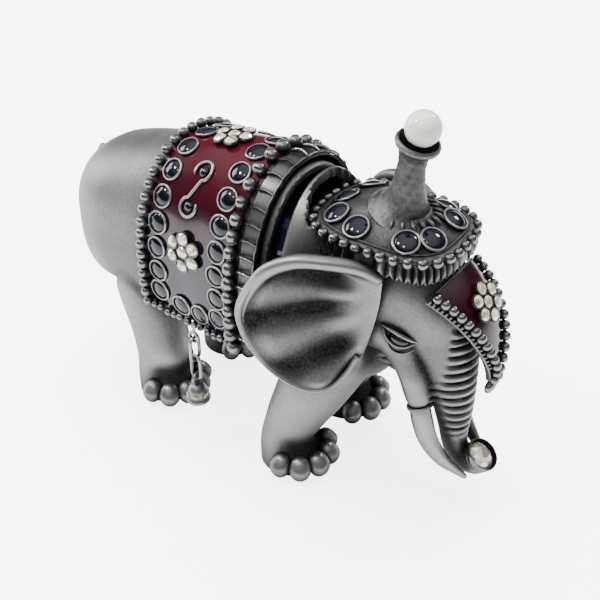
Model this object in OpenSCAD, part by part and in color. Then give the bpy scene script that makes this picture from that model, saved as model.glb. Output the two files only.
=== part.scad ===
// Jewelled elephant box, standing on four feet and parted behind its forelegs.
// Every piece is drawn shut, with the parting face at x = 0 and the head towards +X.
// The front half then swings about its side hinge by open_deg, which is how it rests.

/* [Body] */
// Length from the middle of the rump to the parting face
barrel_len = 35; // [29:0.5:42]
// Radius of the rounded rump
rump_r = 11.8; // [10:0.1:12.4]
// Half width of the cast barrel at the parting face
barrel_half_w = 11.2; // [10:0.1:13.6]
// Height of the barrel's middle above the floor
mid_z = 30; // [26:0.5:36]
// Height of the shoulders above the barrel's middle
shoulder_rise = 18.6; // [16:0.2:22]
// Depth of the belly below the barrel's middle
belly_drop = 12.6; // [11:0.2:14]
// Thickness of the cast wall
wall = 1.3; // [1:0.1:2]
// Thickness of the enamel inside the box
lining_t = 0.25; // [0.2:0.05:0.4]
// Clearance between pieces that are set against each other
seat_gap = 0.03; // [0.02:0.01:0.06]

/* [Legs] */
// Distance of each leg from the middle plane
leg_y = 8.1; // [7.5:0.1:9]
// Distance of the hind legs behind the parting face
hind_leg_back = 24; // [20:0.5:28]
// Distance of the forelegs in front of the parting face
fore_leg_ahead = 2.2; // [2:0.2:4]
// Radius of a leg at the ankle
ankle_r = 4.8; // [4:0.1:5.2]
// Radius of a sole
sole_r = 4.05; // [3.6:0.05:4.4]
// Radius of a toe bead
toe_r = 1.4; // [1:0.05:1.6]

/* [Saddle cloth] */
// Distance from the parting face back to the cloth's rear edge
cloth_back = 24; // [20:0.5:28]
// Angle from the top of the back down to the cloth's hem
hem_deg = 120; // [105:15:120]
// Thickness of the cloth casting
cloth_t = 0.75; // [0.5:0.05:1]
// Thickness of the enamel on the cloth
enamel_t = 0.16; // [0.1:0.02:0.24]
// Radius of the beads along the front edge
bead_r = 0.87; // [0.7:0.02:1]
// Radius of the beads along the rear edge and the headdress
fine_bead_r = 0.7; // [0.5:0.02:0.8]
// Width of the pleated frill along the barrel
frill_w = 3.4; // [2.8:0.1:3.8]

/* [Stones] */
// Radius of an enamelled cabochon
cab_r = 1.4; // [1:0.05:1.5]
// Radius of the wire around a cabochon
bezel_wire_r = 0.22; // [0.16:0.02:0.28]
// Radius of a small round stone
stone_r = 0.85; // [0.7:0.05:0.95]
// Diameter of the pearl
pearl_d = 5; // [4:0.1:6]
// Diameter of the crystal in the trunk
crystal_d = 4.6; // [4:0.1:5.2]

/* [Head] */
// Distance from the parting face to the joint of neck and head
neck_len = 12; // [10:0.5:14]
// Half width of the neck at that joint
neck_half_w = 8; // [7:0.1:9]
// Height of the headdress rim above the barrel's middle
cap_rise = 14.6; // [13:0.2:16]
// Half length of the headdress
cap_half_l = 10.4; // [9:0.2:11]
// Half width of the headdress
cap_half_w = 8.2; // [7.6:0.1:8.6]
// Height of the headdress above its rim
cap_dome = 2.6; // [2.2:0.1:3.4]
// Height of the finial column
column_h = 11; // [9:0.2:13]
// Forward lean of the finial column
column_lean = 15; // [8:1:18]

/* [Hinge] */
// Angle by which the box stands open
open_deg = 5; // [0:0.5:8]
// Radius of the hinge pin
pin_r = 0.55; // [0.45:0.05:0.65]
// Radial clearance of the pin in the front knuckle
pin_fit = 0.05; // [0.03:0.01:0.08]
// Radius of a hinge knuckle
knuckle_r = 1; // [0.9:0.05:1.1]
// Length of the whole hinge
hinge_h = 12; // [10:0.5:14]
// Gap between knuckles, and between the closed halves
part_gap = 0.2; // [0.15:0.05:0.4]

/* [Chain] */
// Radius of the wire of the chain
wire_r = 0.3; // [0.24:0.02:0.34]
// Length of a chain link over its ends
link_l = 5; // [4.4:0.1:5.8]
// Width of a chain link over its sides
link_w = 2.5; // [2.3:0.1:3]
// Height of the bell charm
bell_h = 3.4; // [3:0.1:4]

/* [Hidden] */

$fn = 32;
round_fn = 16;      // facets of the hulled, cast shapes
thin_fn = 8;        // facets of the hulled thin edges
big = 200;          // side of a cutting block, larger than the whole box
turn = 15;          // step of the barrel's outline, which every layer on it shares
upper_n = 2.2;      // squareness of the barrel above its middle
lower_n = 4.5;      // squareness of the barrel below its middle
seat_x = 7.3;       // place of the parting face along X
seat_y = 0.18;      // shift that puts the whole box's middle on the X axis

cloth_in = seat_gap;
cloth_out = cloth_in + cloth_t;
enamel_out = cloth_out + seat_gap + enamel_t;
trim_e = enamel_out + seat_gap;
hinge_y = barrel_half_w + 1.5;
hinge_mid_z = mid_z + 1;
front_row_x = -frill_w - bead_r - 0.95;
cap_z = mid_z + cap_rise;
cap_x = neck_len + 0.9;
pewter = [0.55, 0.55, 0.54];
dark_pewter = [0.36, 0.36, 0.36];
navy = [0.05, 0.06, 0.14];
burgundy = [0.28, 0.04, 0.09];
stone_white = [0.92, 0.9, 0.82];

// ---- outline of the barrel and neck ----

function clamp01(u) = min(max(u, 0), 1);
function ease(u) = let (v = clamp01(u)) v * v * (3 - 2 * v);
function mix(a, b, u) = a + (b - a) * u;
function sq(s, n) = sign(s) * pow(abs(s), 2 / n);
function rump_k(x) = x >= -barrel_len ? 1 : sqrt(max(0, 1 - pow((x + barrel_len) / rump_r, 2)));
function along(x) = clamp01((x + barrel_len) / barrel_len);
function half_w(x) = x <= 0 ? rump_k(x) * mix(rump_r, barrel_half_w, ease(along(x)))
    : mix(barrel_half_w, neck_half_w, ease(x / neck_len));
function rise(x) = x <= 0 ? rump_k(x) * mix(rump_r, shoulder_rise, pow(sin(90 * along(x)), 0.8))
    : mix(shoulder_rise, cap_rise - 1, ease(x / neck_len));
function drop(x) = x <= 0 ? rump_k(x) * mix(rump_r, belly_drop, along(x))
    : mix(belly_drop, belly_drop - 5, ease(x / neck_len));
function skin(x, a, e = 0) = let (up = cos(a) >= 0, n = up ? upper_n : lower_n)
    [x, (half_w(x) + e) * sq(sin(a), n), mid_z + ((up ? rise(x) : drop(x)) + e) * sq(cos(a), n)];
function unit(v) = v / norm(v);
function skin_normal(x, a) = unit(cross(skin(x, a - 1) - skin(x, a + 1), skin(x + 0.1, a) - skin(x - 0.1, a)));

// angles from -a1 to a1 at which beads of one pitch sit evenly round the barrel
function arc_table(x, e, a1) = let (st = 3, k = floor(2 * a1 / st),
    p = [for (i = [0 : k]) skin(x, -a1 + i * 2 * a1 / k, e)])
    [for (i = 0, s = 0; i <= k; s = i < k ? s + norm(p[i + 1] - p[i]) : s, i = i + 1)
        [s, -a1 + i * 2 * a1 / k]];
function even_angles(x, e, a1, pitch) = let (t = arc_table(x, e, a1), total = t[len(t) - 1][0],
    n = floor(total / pitch)) [for (i = [0 : n]) lookup(i * total / n, t)];

// ---- general shapes ----

// a closed grid of rings, each with the same number of points; caps lists the faces that close the first
// ring, and the last ring gets the same ones
module loft(rings, caps = []) {
    m = len(rings[0]);
    k = len(rings);
    ends = len(caps) > 0 ? caps : [[for (j = [0 : m - 1]) j]];
    pts = [for (r = rings) each r];
    sides = [for (i = [0 : k - 2], j = [0 : m - 1]) let (a = i * m + j, b = i * m + (j + 1) % m)
        each [[a, b + m, b], [a, a + m, b + m]]];
    polyhedron(pts, concat(sides, ends,
        [for (f = ends) [for (i = [len(f) - 1 : -1 : 0]) (k - 1) * m + f[i]]]), convexity = 6);
}

// a layer on the barrel between two offsets, from angle -a0 to a1, along the stations xs
module layer(xs, e0, e1, a0, a1) {
    up = [for (a = [-a0 : turn : a1]) a];
    down = [for (a = [a1 : -turn : -a0]) a];
    n = len(up);
    loft([for (x = xs) concat([for (a = up) skin(x, a, e0)], [for (a = down) skin(x, a, e1)])],
        [for (j = [0 : n - 2]) [j, j + 1, 2 * n - 2 - j, 2 * n - 1 - j]]);
}

module barrel(xs, e, st = turn) {
    loft([for (x = xs) [for (a = [180 : -st : -180 + st]) skin(x, a, e)]]);
}

// a chain of rounded pieces: each point is [x, y, z, radius]
module limb(pts, fn = round_fn) {
    for (i = [0 : len(pts) - 2]) hull() {
        translate([for (k = [0 : 2]) pts[i][k]]) sphere(r = pts[i][3], $fn = fn);
        translate([for (k = [0 : 2]) pts[i + 1][k]]) sphere(r = pts[i + 1][3], $fn = fn);
    }
}

module facing(n) {
    rotate([0, acos(n[2]), atan2(n[1], n[0])]) children();
}

// sets its child on the barrel's skin with +Z along the skin's normal
module on_skin(x, a, e) {
    n = skin_normal(x, a);
    translate(skin(x, a, 0) + n * e) facing(n) children();
}

module ring(r, wire) {
    rotate_extrude() translate([r, 0]) circle(r = wire, $fn = 16);
}

module dome(r, h) {
    ball = (r * r + h * h) / (2 * h);
    rotate_extrude() intersection() {
        translate([0, h - ball]) circle(r = ball, $fn = 64);
        square([r, h]);
    }
}

// a faceted round stone, its table up
module cut_stone(r) {
    cylinder(r1 = r * 0.86, r2 = r, h = r * 0.3, $fn = 24);
    translate([0, 0, r * 0.3]) cylinder(r1 = r, r2 = r * 0.55, h = r * 0.32, $fn = 24);
}

module stone_cup(r) {
    difference() {
        cylinder(r = r + 0.13, h = 0.42);
        translate([0, 0, 0.2]) cylinder(r = r + 0.02, h = 1);
    }
}

// one place in the middle and six round it
module seven(pitch_r) {
    children();
    for (i = [0 : 5]) rotate(60 * i) translate([pitch_r, 0, 0]) children();
}

flower_pitch = 2 * stone_r + 0.32;
flower_back = pow(flower_pitch + stone_r, 2) / (2 * barrel_half_w) + seat_gap;

module swung() {
    translate([0, hinge_y, 0]) rotate(open_deg) translate([0, -hinge_y, 0]) children();
}

module placed() { translate([seat_x, seat_y, 0]) children(); }
module front() { placed() swung() children(); }

// ---- rear half ----

rump_xs = [for (t = [82 : -12 : 10]) -barrel_len - rump_r * sin(t)];
barrel_xs = concat(rump_xs, [for (i = [0 : 7]) mix(-barrel_len, -part_gap / 2, i / 7)]);
cavity_back = barrel_len - 3;
lining_xs = [for (i = [0 : 5]) mix(-cavity_back + 0.4, -1.2, i / 5)];
cavity_xs = concat([-cavity_back], lining_xs, [1]);

module rear_casting() {
    color(pewter) placed() difference() {
        union() {
            barrel(barrel_xs, 0);
            for (s = [-1, 1]) {
                limb([[-hind_leg_back - 7, s * (leg_y - 3), mid_z - 5, 6.4],
                    [-hind_leg_back - 4.6, s * (leg_y - 1.4), mid_z - 12, 6],
                    [-hind_leg_back - 2.4, s * (leg_y - 0.4), ankle_r + 7, 5],
                    [-hind_leg_back - 0.6, s * leg_y, ankle_r + 1.2, ankle_r]]);
                foot(-hind_leg_back, s);
            }
        }
        barrel(cavity_xs, -wall, 30);
        translate([-part_gap / 2, -big / 2, 0]) cube(big);
    }
}

// the ankle flaring down to a flat sole, on side s of the middle plane
module foot(x, s) {
    hull() {
        translate([x - 0.6, s * leg_y, ankle_r + 1.2]) sphere(r = ankle_r, $fn = round_fn);
        translate([x, s * leg_y, 0]) cylinder(r = sole_r, h = 2, $fn = round_fn);
    }
}

// the row of round toes about the front of a foot on side s
toe_step = 37;
module toes(x, s) {
    for (i = [-2 : 2]) translate([x, s * leg_y, toe_r + 0.06]) rotate(s * 16 + i * toe_step)
        translate([sole_r + toe_r + 0.14, 0, 0]) sphere(r = toe_r);
}

module hind_toes() {
    color(pewter) placed() for (s = [-1, 1]) toes(-hind_leg_back, s);
}

tail_x = -barrel_len - rump_r - 0.75;
module tail() {
    color(pewter) placed() difference() {
        limb([[tail_x + 1.6, 0, mid_z + 6, 0.9], [tail_x, 0, mid_z, 0.7], [tail_x + 1.3, 0.6, mid_z - 7, 0.6],
            [tail_x + 3.2, 1.2, mid_z - 12, 0.6], [tail_x + 3.6, 1.5, mid_z - 15, 1],
            [tail_x + 3.8, 1.6, mid_z - 18, 0.4]], thin_fn);
        barrel(barrel_xs, seat_gap);
    }
}

cloth_xs = [for (i = [0 : 8]) mix(-cloth_back, front_row_x + 2.4, i / 8)];
enamel_xs = [for (i = [1 : 7]) mix(-cloth_back, front_row_x + 2.4, i / 8)];

module saddle_cloth() { color(dark_pewter) placed() layer(cloth_xs, cloth_in, cloth_out, hem_deg, hem_deg); }

module cloth_enamel() {
    color(burgundy) placed() layer(enamel_xs, cloth_out + seat_gap, enamel_out, hem_deg - turn, hem_deg - turn);
}

module bead_row(x, a1, r, pitch) {
    for (a = even_angles(x, trim_e, a1, pitch)) on_skin(x, a, trim_e + r) sphere(r = r);
}

module cloth_rear_beads() {
    color(pewter) placed() bead_row(-cloth_back + fine_bead_r, hem_deg - 6, fine_bead_r, fine_bead_r * 2.7);
}

module cloth_front_beads() {
    color(pewter) placed() bead_row(front_row_x, hem_deg - 4, bead_r, bead_r * 2.8);
}

hem_n = floor((cloth_back + front_row_x - 2 * fine_bead_r - bead_r) / (fine_bead_r * 2.4));
module cloth_hem_beads() {
    color(pewter) placed() for (s = [-1, 1], i = [1 : hem_n - 1])
        on_skin(mix(-cloth_back + fine_bead_r, front_row_x, i / hem_n), s * (hem_deg - 4), trim_e + fine_bead_r)
            sphere(r = fine_bead_r);
}

frill_xs = [-frill_w - 0.3, -frill_w / 2, -0.9];
frill_a = 105;
frill_hinge_a = 60;
module collar_frill() {
    color(pewter) placed() {
        layer(frill_xs, cloth_out + 3 * seat_gap, cloth_out + 0.5, frill_a, frill_hinge_a);
        for (a = even_angles(-frill_w / 2, 0, frill_a - 3, 2.3)) if (a < frill_hinge_a - 3) frill_rib(a);
    }
}

// a thin wall between two pleats, standing on the frill and running along the barrel
module frill_rib(a) {
    hull() for (x = [-frill_w - 0.1, -1.1], e = [0.2, 0.95])
        translate(skin(x, a) + skin_normal(x, a) * (cloth_out + e)) sphere(r = 0.16, $fn = thin_fn);
}

// the cabochons of the cloth: a row behind the front beads, a row by the rear beads, two on each hem
cab_pitch = 2 * cab_r + 1.3;
cab_front_x = front_row_x - bead_r - cab_r - 0.75;
cab_rear_x = -cloth_back + 2 * fine_bead_r + cab_r + 0.9;
module at_cabochons() {
    for (x = [cab_front_x, cab_rear_x], a = even_angles(x, trim_e, 98, cab_pitch)) on_skin(x, a, trim_e) children();
    for (s = [-1, 1], x = [-0.66, -0.5]) on_skin(cloth_back * x, s * 102, trim_e) children();
}
module cloth_bezels() {
    color(pewter) placed() at_cabochons() translate([0, 0, bezel_wire_r])
        ring(cab_r + bezel_wire_r + 0.04, bezel_wire_r);
}
module cloth_cabochons() {
    color(navy) placed() {
        at_cabochons() dome(cab_r, 0.75);
        for (s = [-1, 1]) at_scroll_ends(s) translate([0, 0, -0.25]) dome(small_cab_r, 0.6);
    }
}

cloth_mid_x = mix(-cloth_back, front_row_x, 0.5);
module at_flowers() {
    for (a = [-78, 0, 78]) on_skin(cloth_mid_x, a, trim_e + flower_back) children();
}
module cloth_flower_cups() { color(pewter) placed() at_flowers() seven(flower_pitch) stone_cup(stone_r); }
module cloth_flower_stones() {
    color(stone_white) placed() at_flowers() seven(flower_pitch) translate([0, 0, 0.24]) cut_stone(stone_r);
}

// an S of wire lying along the barrel between the flowers: [x from the cloth's middle, angle]
scroll_ends = [[0.2, 32], [-0.3, 54]];
scroll_r = 1.3;
small_cab_r = 0.85;
function scroll_pt(u, s) = let (x = cloth_mid_x + mix(scroll_ends[0][0] - scroll_r, scroll_ends[1][0] + scroll_r, u),
    a = s * mix(scroll_ends[0][1], scroll_ends[1][1], u), p = skin(x, a) + skin_normal(x, a) * (trim_e + 0.3))
    [p[0], p[1], p[2], bezel_wire_r];
module at_scroll_ends(s) {
    for (q = scroll_ends) on_skin(cloth_mid_x + q[0], s * q[1], trim_e + 0.3) children();
}
module cloth_scrolls() {
    color(pewter) placed() for (s = [-1, 1]) {
        at_scroll_ends(s) ring(scroll_r, bezel_wire_r);
        limb([for (u = [0 : 0.25 : 1]) scroll_pt(u, s)], thin_fn);
    }
}

module rear_lining() {
    color(navy) placed() difference() {
        barrel(lining_xs, -wall - seat_gap, 30);
        barrel([for (x = lining_xs) x + (x < -cavity_back + 1 ? lining_t : x > -2 ? 1 : 0)],
            -wall - seat_gap - lining_t, 30);
        magnet_seat();
    }
}

// ---- hinge and magnets ----

knuckle_h = (hinge_h - 2 * part_gap) / 3;
module knuckle(z, bore) {
    translate([0, hinge_y, hinge_mid_z + z - knuckle_h / 2]) difference() {
        cylinder(r = knuckle_r, h = knuckle_h);
        translate([0, 0, -1]) cylinder(r = bore, h = knuckle_h + 2);
    }
}

module leaf_plate(z, s) {
    difference() {
        translate([s > 0 ? 0.3 : -2.7, barrel_half_w + seat_gap, hinge_mid_z + z - knuckle_h / 2])
            cube([2.4, 0.7, knuckle_h]);
        translate([0, hinge_y, 0]) cylinder(r = knuckle_r - 0.15, h = big);
    }
}

module rear_hinge_leaf() {
    color(pewter) placed() for (s = [-1, 1]) {
        knuckle(s * (knuckle_h + part_gap), pin_r);
        leaf_plate(s * (knuckle_h + part_gap), -1);
    }
}
module front_hinge_leaf() {
    color(pewter) front() {
        knuckle(0, pin_r + pin_fit);
        leaf_plate(0, 1);
    }
}
module hinge_pin() {
    color(dark_pewter) placed() translate([0, hinge_y, hinge_mid_z - hinge_h / 2 - 0.5]) {
        cylinder(r = pin_r, h = hinge_h + 1);
        for (z = [-0.4, hinge_h + 1]) translate([0, 0, z]) cylinder(r = knuckle_r * 0.85, h = 0.4);
    }
}

magnet_r = 1.4;
magnet_h = 1;
magnet_y = -(barrel_half_w - wall - magnet_r - 0.5);
module magnet_at(x) {
    translate([x, magnet_y, mid_z - 3]) rotate([0, 90, 0]) children();
}
module magnet_seat() { magnet_at(-magnet_h - 1.5) cylinder(r = magnet_r + 0.3, h = magnet_h + 2); }
module rear_magnet() {
    color(dark_pewter) placed() magnet_at(-part_gap / 2 - magnet_h) cylinder(r = magnet_r, h = magnet_h);
}
module front_magnet() {
    color(dark_pewter) front() magnet_at(part_gap / 2) cylinder(r = magnet_r, h = magnet_h);
}

// ---- chain on the hem ----

charm_x = -12;
charm_y = -(barrel_half_w + trim_e + fine_bead_r * 2 + wire_r + 0.1);
eye_z = mid_z - 9.6;
eye_r = 0.85;
module charm_eye() {
    color(pewter) placed() translate([charm_x, charm_y, eye_z]) {
        rotate([90, 0, 0]) ring(eye_r, wire_r);
        translate([0, 0, eye_r]) cylinder(r = wire_r * 0.9, h = 1.2);
    }
}

// an oval ring of wire in the plane of X and Z, with the middle of its top wire at z = 0
module link() {
    half = (link_l - link_w) / 2;
    mid_r = link_w / 2 - wire_r;
    translate([0, 0, -link_drop / 2]) rotate([90, 0, 0]) {
        for (s = [-1, 1]) {
            translate([0, s * half, 0]) rotate(s > 0 ? 0 : 180) rotate_extrude(angle = 180)
                translate([mid_r, 0]) circle(r = wire_r, $fn = 16);
            translate([s * mid_r, -half, 0]) rotate([-90, 0, 0]) cylinder(r = wire_r, h = 2 * half, $fn = 16);
        }
    }
}
link_drop = link_l - 2 * wire_r;
hang = 2 * wire_r + 0.1;    // between the middles of two wires that hang one in the other
upper_top_z = eye_z - eye_r + hang;
lower_top_z = upper_top_z - link_drop + hang;
bell_top_z = lower_top_z - link_drop + hang;
bell_ring_r = 0.85;
bell_foot_z = -2 * bell_ring_r - wire_r / 2 - bell_h;
module upper_link() {
    color(pewter) placed() translate([charm_x, charm_y, upper_top_z]) rotate(90) link();
}
module lower_link() { color(pewter) placed() translate([charm_x, charm_y, lower_top_z]) link(); }
module bell_charm() {
    color(pewter) placed() translate([charm_x, charm_y, bell_top_z]) {
        rotate([90, 0, 90]) translate([0, -bell_ring_r, 0]) ring(bell_ring_r, wire_r);
        translate([0, 0, bell_foot_z]) rotate_extrude() polygon([[0, 0], [1.9, 0], [2.05, 0.5], [1.75, 1],
            [1.6, 2], [1.2, bell_h - 0.6], [0.5, bell_h], [0, bell_h]]);
    }
}
module bell_stones() {
    color(stone_white) placed() translate([charm_x, charm_y, bell_top_z + bell_foot_z])
        for (a = [0 : 60 : 300]) rotate(a) translate([2.12, 0, 0.9]) rotate([0, 90, 0]) dome(0.42, 0.3);
}

// ---- front half ----

front_xs = [for (i = [0 : 6]) mix(part_gap / 2, neck_len, i / 6)];
front_lining_xs = [for (i = [0 : 3]) mix(1.2, neck_len - 2, i / 3)];
front_cavity_xs = concat([-1], front_lining_xs, [neck_len - 1.6]);
belly_cut_z = mid_z - belly_drop - 0.5;
cap_base = cap_z - 0.5;
fringe_h = 2.2;
hollow_top_z = cap_base - fringe_h - wall;
module front_casting() {
    color(pewter) front() difference() {
        union() {
            barrel(front_xs, 0);
            for (s = [-1, 1]) {
                limb([[fore_leg_ahead + 4.4, s * (leg_y - 3.2), mid_z - 8, 6.4],
                    [fore_leg_ahead + 2, s * (leg_y - 1.2), mid_z - 14, 5.7],
                    [fore_leg_ahead - 0.2, s * leg_y, ankle_r + 5, ankle_r + 0.2],
                    [fore_leg_ahead - 0.6, s * leg_y, ankle_r + 1.2, ankle_r]]);
                foot(fore_leg_ahead, s);
            }
            limb([[neck_len - 3.6, 0, mid_z - 8, 6.2], [neck_len - 4, 0, mid_z - 2, 6.4]]);
        }
        front_hollow(front_cavity_xs, 0);
        headdress_room();
        translate([part_gap / 2 - big, -big / 2, belly_cut_z]) cube(big);
        translate([neck_len, -big / 2, 0]) cube(big);
    }
}

// the room inside the front half, which ends below the headdress, shrunk by e
module front_hollow(xs, e) {
    difference() {
        barrel(xs, -wall - e, 30);
        translate([-big / 2, -big / 2, hollow_top_z - e]) cube(big);
    }
}

// the room the headdress needs: above its base, and round its fringe
module headdress_room() {
    translate([0, 0, cap_base - seat_gap]) cap_column(1.25);
    translate([0, 0, cap_base - fringe_h - 2 * seat_gap]) difference() {
        cap_column(1.25);
        cap_column(0.88);
    }
}
module cap_column(k) {
    linear_extrude(big) polygon([for (a = [0 : 12 : 348]) let (p = cap_pt(a, k, 0)) [p[0], p[1]]]);
}

module fore_toes() { color(pewter) front() for (s = [-1, 1]) toes(fore_leg_ahead, s); }

module front_lining() {
    color(navy) front() difference() {
        front_hollow(front_lining_xs, seat_gap);
        front_hollow([for (x = front_lining_xs) x + (x > neck_len - 3 ? -lining_t : x < 2 ? -1 : 0)],
            seat_gap + lining_t);
    }
}

// a lip on the near wall of the front half that slides inside the rear wall as the box shuts
tongue_z = mid_z + 8;
module locating_tongue() {
    color(pewter) front() difference() {
        intersection() {
            barrel([-2.2, neck_len / 3], -wall - lining_t - 3 * seat_gap - 0.45);
            translate([-2.2, -big, tongue_z]) cube([5, big, 5]);
        }
        barrel([-3, neck_len / 3 + 1], -wall - lining_t - 1.2);
        translate([part_gap / 2 - seat_gap, -big / 2, hollow_top_z - 2 * seat_gap - lining_t]) cube(big);
    }
}

head_x = neck_len;
brow_r = 15.4;
brow_x = head_x + 2.3;
brow_z = mid_z - 2.4;
panel_t = 0.7;
tusk_root = [head_x + 9.6, 4.2, mid_z - 11.6];
tusk_tip = [head_x + 17.2, 3, mid_z - 23.4];
trunk_end = [head_x + 16.2, 0, mid_z - 24];
crystal_at = [head_x + 18, 0, mid_z - 21];
crystal_tilt = 35;
eye_at = [head_x + 6.8, 6.2, mid_z + 0.6];
eye_ball_r = 0.85;
module head_casting() {
    color(pewter) front() difference() {
        union() {
            limb([[head_x - 1, 0, mid_z + 5, 7.8], [head_x + 4, 0, mid_z + 6, 7.2], [head_x + 8, 0, mid_z + 5, 6.6],
                [head_x + 10.4, 0, mid_z - 1, 5.6], [head_x + 11.6, 0, mid_z - 6, 4.4],
                [head_x + 12.6, 0, mid_z - 12, 3.3], [head_x + 13, 0, mid_z - 17, 2.7],
                [head_x + 14, 0, mid_z - 21.6, 2.4], trunk_point(0), trunk_point(1)]);
            for (s = [-1, 1]) {
                limb([[head_x, s * 2.6, mid_z, 5], [head_x + 5, s * 2.6, mid_z - 2, 4.2],
                    [head_x + 7.4, s * 3.6, mid_z - 7, 2.8], [tusk_root[0], s * tusk_root[1], tusk_root[2] + 0.6, 2.1]]);
            }
            limb([[head_x + 3, 0, mid_z - 6, 3.6], [head_x + 8.4, 0, mid_z - 10, 2.2]]);
        }
        translate([head_x + seat_gap - big, -big / 2, 0]) cube(big);
        translate([-big / 2, -big / 2, cap_base - seat_gap]) cube(big);
        for (s = [-1, 1]) {
            translate([eye_at[0], s * eye_at[1], eye_at[2]]) sphere(r = eye_ball_r + 0.12, $fn = 20);
            tusk_body(s, 2 * seat_gap);
        }
        brow_band(brow_r - seat_gap, brow_r + 8, 60);
        trunk_seat();
    }
}
function trunk_point(i) = i == 0 ? concat(trunk_end, [2.2])
    : [crystal_at[0] - 1.4, 0, crystal_at[2] - 1.6, 2];

// the front of the head between two radii about the brow's axis
module brow_band(r0, r1, half_w_band) {
    translate([brow_x, 0, brow_z]) rotate([90, 0, 0]) rotate(-14) rotate_extrude(angle = 74)
        translate([r0, -half_w_band]) square([r1 - r0, 2 * half_w_band]);
}
module trunk_seat() {
    translate(crystal_at) rotate([0, crystal_tilt, 0]) translate([0, 0, -1.1]) cylinder(r = 4, h = 8);
}

module right_eye() { color(dark_pewter) front() translate([eye_at[0], -eye_at[1], eye_at[2]]) sphere(r = eye_ball_r); }
module left_eye() { color(dark_pewter) front() translate(eye_at) sphere(r = eye_ball_r); }

// a tusk from its root in the cheek, grown by e
module tusk_body(s, e) {
    difference() {
        limb([[tusk_root[0] - 0.4, s * tusk_root[1], tusk_root[2] + 0.2, 1.5 + e],
            [tusk_root[0] + 1.4, s * (tusk_root[1] + 0.5), tusk_root[2] - 4, 1.4 + e],
            [tusk_root[0] + 4.2, s * tusk_root[1], tusk_root[2] - 8, 1.1 + e],
            [tusk_tip[0], s * tusk_tip[1], tusk_tip[2], 0.5 + e]]);
        translate([-big / 2, -big / 2, tusk_root[2] - 0.2 + e]) cube(big);
    }
}
module tusk(s) { color([0.62, 0.62, 0.61]) front() tusk_body(s, 0); }
module right_tusk() { tusk(-1); }
module left_tusk() { tusk(1); }

// outline of an ear from its upper root round to its lower root: [x, y out from the middle, z]
ear_root = [[head_x + 4, 8.4, mid_z + 10.8], [head_x + 3, 8.4, mid_z + 3], [head_x + 1.6, 8.6, mid_z - 2.6]];
ear_edge = [[head_x + 3.6, 9.2, mid_z + 11.2], [head_x - 1.5, 12.6, mid_z + 13], [6, 14.2, mid_z + 12.6],
    [1.6, 15.8, mid_z + 10], [-1.6, 16.6, mid_z + 5.4], [-2.6, 16.8, mid_z + 1.6], [-1.2, 16.6, mid_z - 2.4],
    [2, 15.8, mid_z - 6], [6, 14.6, mid_z - 8.2], [9.4, 13, mid_z - 8.8], [12.2, 11.6, mid_z - 6.8],
    [head_x + 1.4, 9.4, mid_z - 3]];
ear_n = len(ear_edge) - 1;
function ear_root_at(i) = let (u = 2 * i / ear_n, k = min(floor(u), 1)) mix(ear_root[k], ear_root[k + 1], u - k);
ear_t = 0.5;
module ear(s) {
    color(pewter) front() difference() {
        for (i = [0 : ear_n - 1]) hull()
            for (p = [ear_root_at(i), ear_root_at(i + 1), ear_edge[i], ear_edge[i + 1]])
                translate([p[0], s * p[1], p[2]]) sphere(r = ear_t, $fn = thin_fn);
        ear_seat();
    }
}
module ear_seat() {
    limb([[head_x - 1, 0, mid_z + 5, 7.9], [head_x + 4, 0, mid_z + 6, 7.3], [head_x + 8, 0, mid_z + 5, 6.7]]);
    barrel([part_gap / 2, neck_len], 0.05);
}
module right_ear() { ear(-1); }
module left_ear() { ear(1); }

module trunk_cup() {
    color(pewter) front() translate(crystal_at) rotate([0, crystal_tilt, 0]) translate([0, 0, -1.05])
        difference() {
            cylinder(r = crystal_d / 2 + 0.35, h = 1.7);
            translate([0, 0, 0.5]) cylinder(r = crystal_d / 2 + seat_gap, h = 2);
        }
}
module trunk_crystal() {
    color(stone_white) front() translate(crystal_at) rotate([0, crystal_tilt, 0])
        translate([0, 0, -0.52]) cut_stone(crystal_d / 2);
}

// ---- headdress ----

function cap_pt(a, k, z) = [cap_x + cap_half_l * k * sq(cos(a), 3), cap_half_w * k * sq(sin(a), 3), z];
cap_steps = [[1, 0], [1, 0.9], [0.86, 1.5], [0.66, 0.9 + cap_dome * 0.6], [0.42, 0.9 + cap_dome]];
module headdress_cap() {
    color(dark_pewter) front()
        loft([for (q = cap_steps) [for (a = [0 : 12 : 348]) cap_pt(a, q[0], cap_base + q[1])]]);
}
fringe_n = 44;
module headdress_fringe() {
    pts = [for (i = [0 : 2 * fringe_n - 1]) let (p = cap_pt(i * 180 / fringe_n, i % 2 == 0 ? 0.99 : 0.94, 0))
        [p[0], p[1]]];
    color(pewter) front() difference() {
        translate([0, 0, cap_base - seat_gap - fringe_h]) linear_extrude(fringe_h) polygon(pts);
        translate([0, 0, cap_base - big / 2]) linear_extrude(big)
            polygon([for (a = [0 : 12 : 348]) let (p = cap_pt(a, 0.9, 0)) [p[0], p[1]]]);
    }
}
rim_bead_n = 36;
module headdress_beads() {
    color(pewter) front() for (i = [0 : rim_bead_n - 1])
        let (p = cap_pt(rim_angle(i), 1, cap_base + 0.45), q = fine_bead_r * 0.95, n = cap_out(rim_angle(i)))
            translate(p + n * (q + seat_gap)) sphere(r = q);
}
function rim_len(i) = i == 0 ? 0 : rim_len(i - 1) + norm(cap_pt(5 * i, 1, 0) - cap_pt(5 * i - 5, 1, 0));
rim_arc = [for (i = [0 : 72]) [rim_len(i), 5 * i]];
function rim_angle(i) = lookup(i * rim_arc[72][0] / rim_bead_n, rim_arc);
function cap_out(a) = let (d = cap_pt(a + 1, 1, 0) - cap_pt(a - 1, 1, 0)) unit([d[1], -d[0], 0]);
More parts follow.
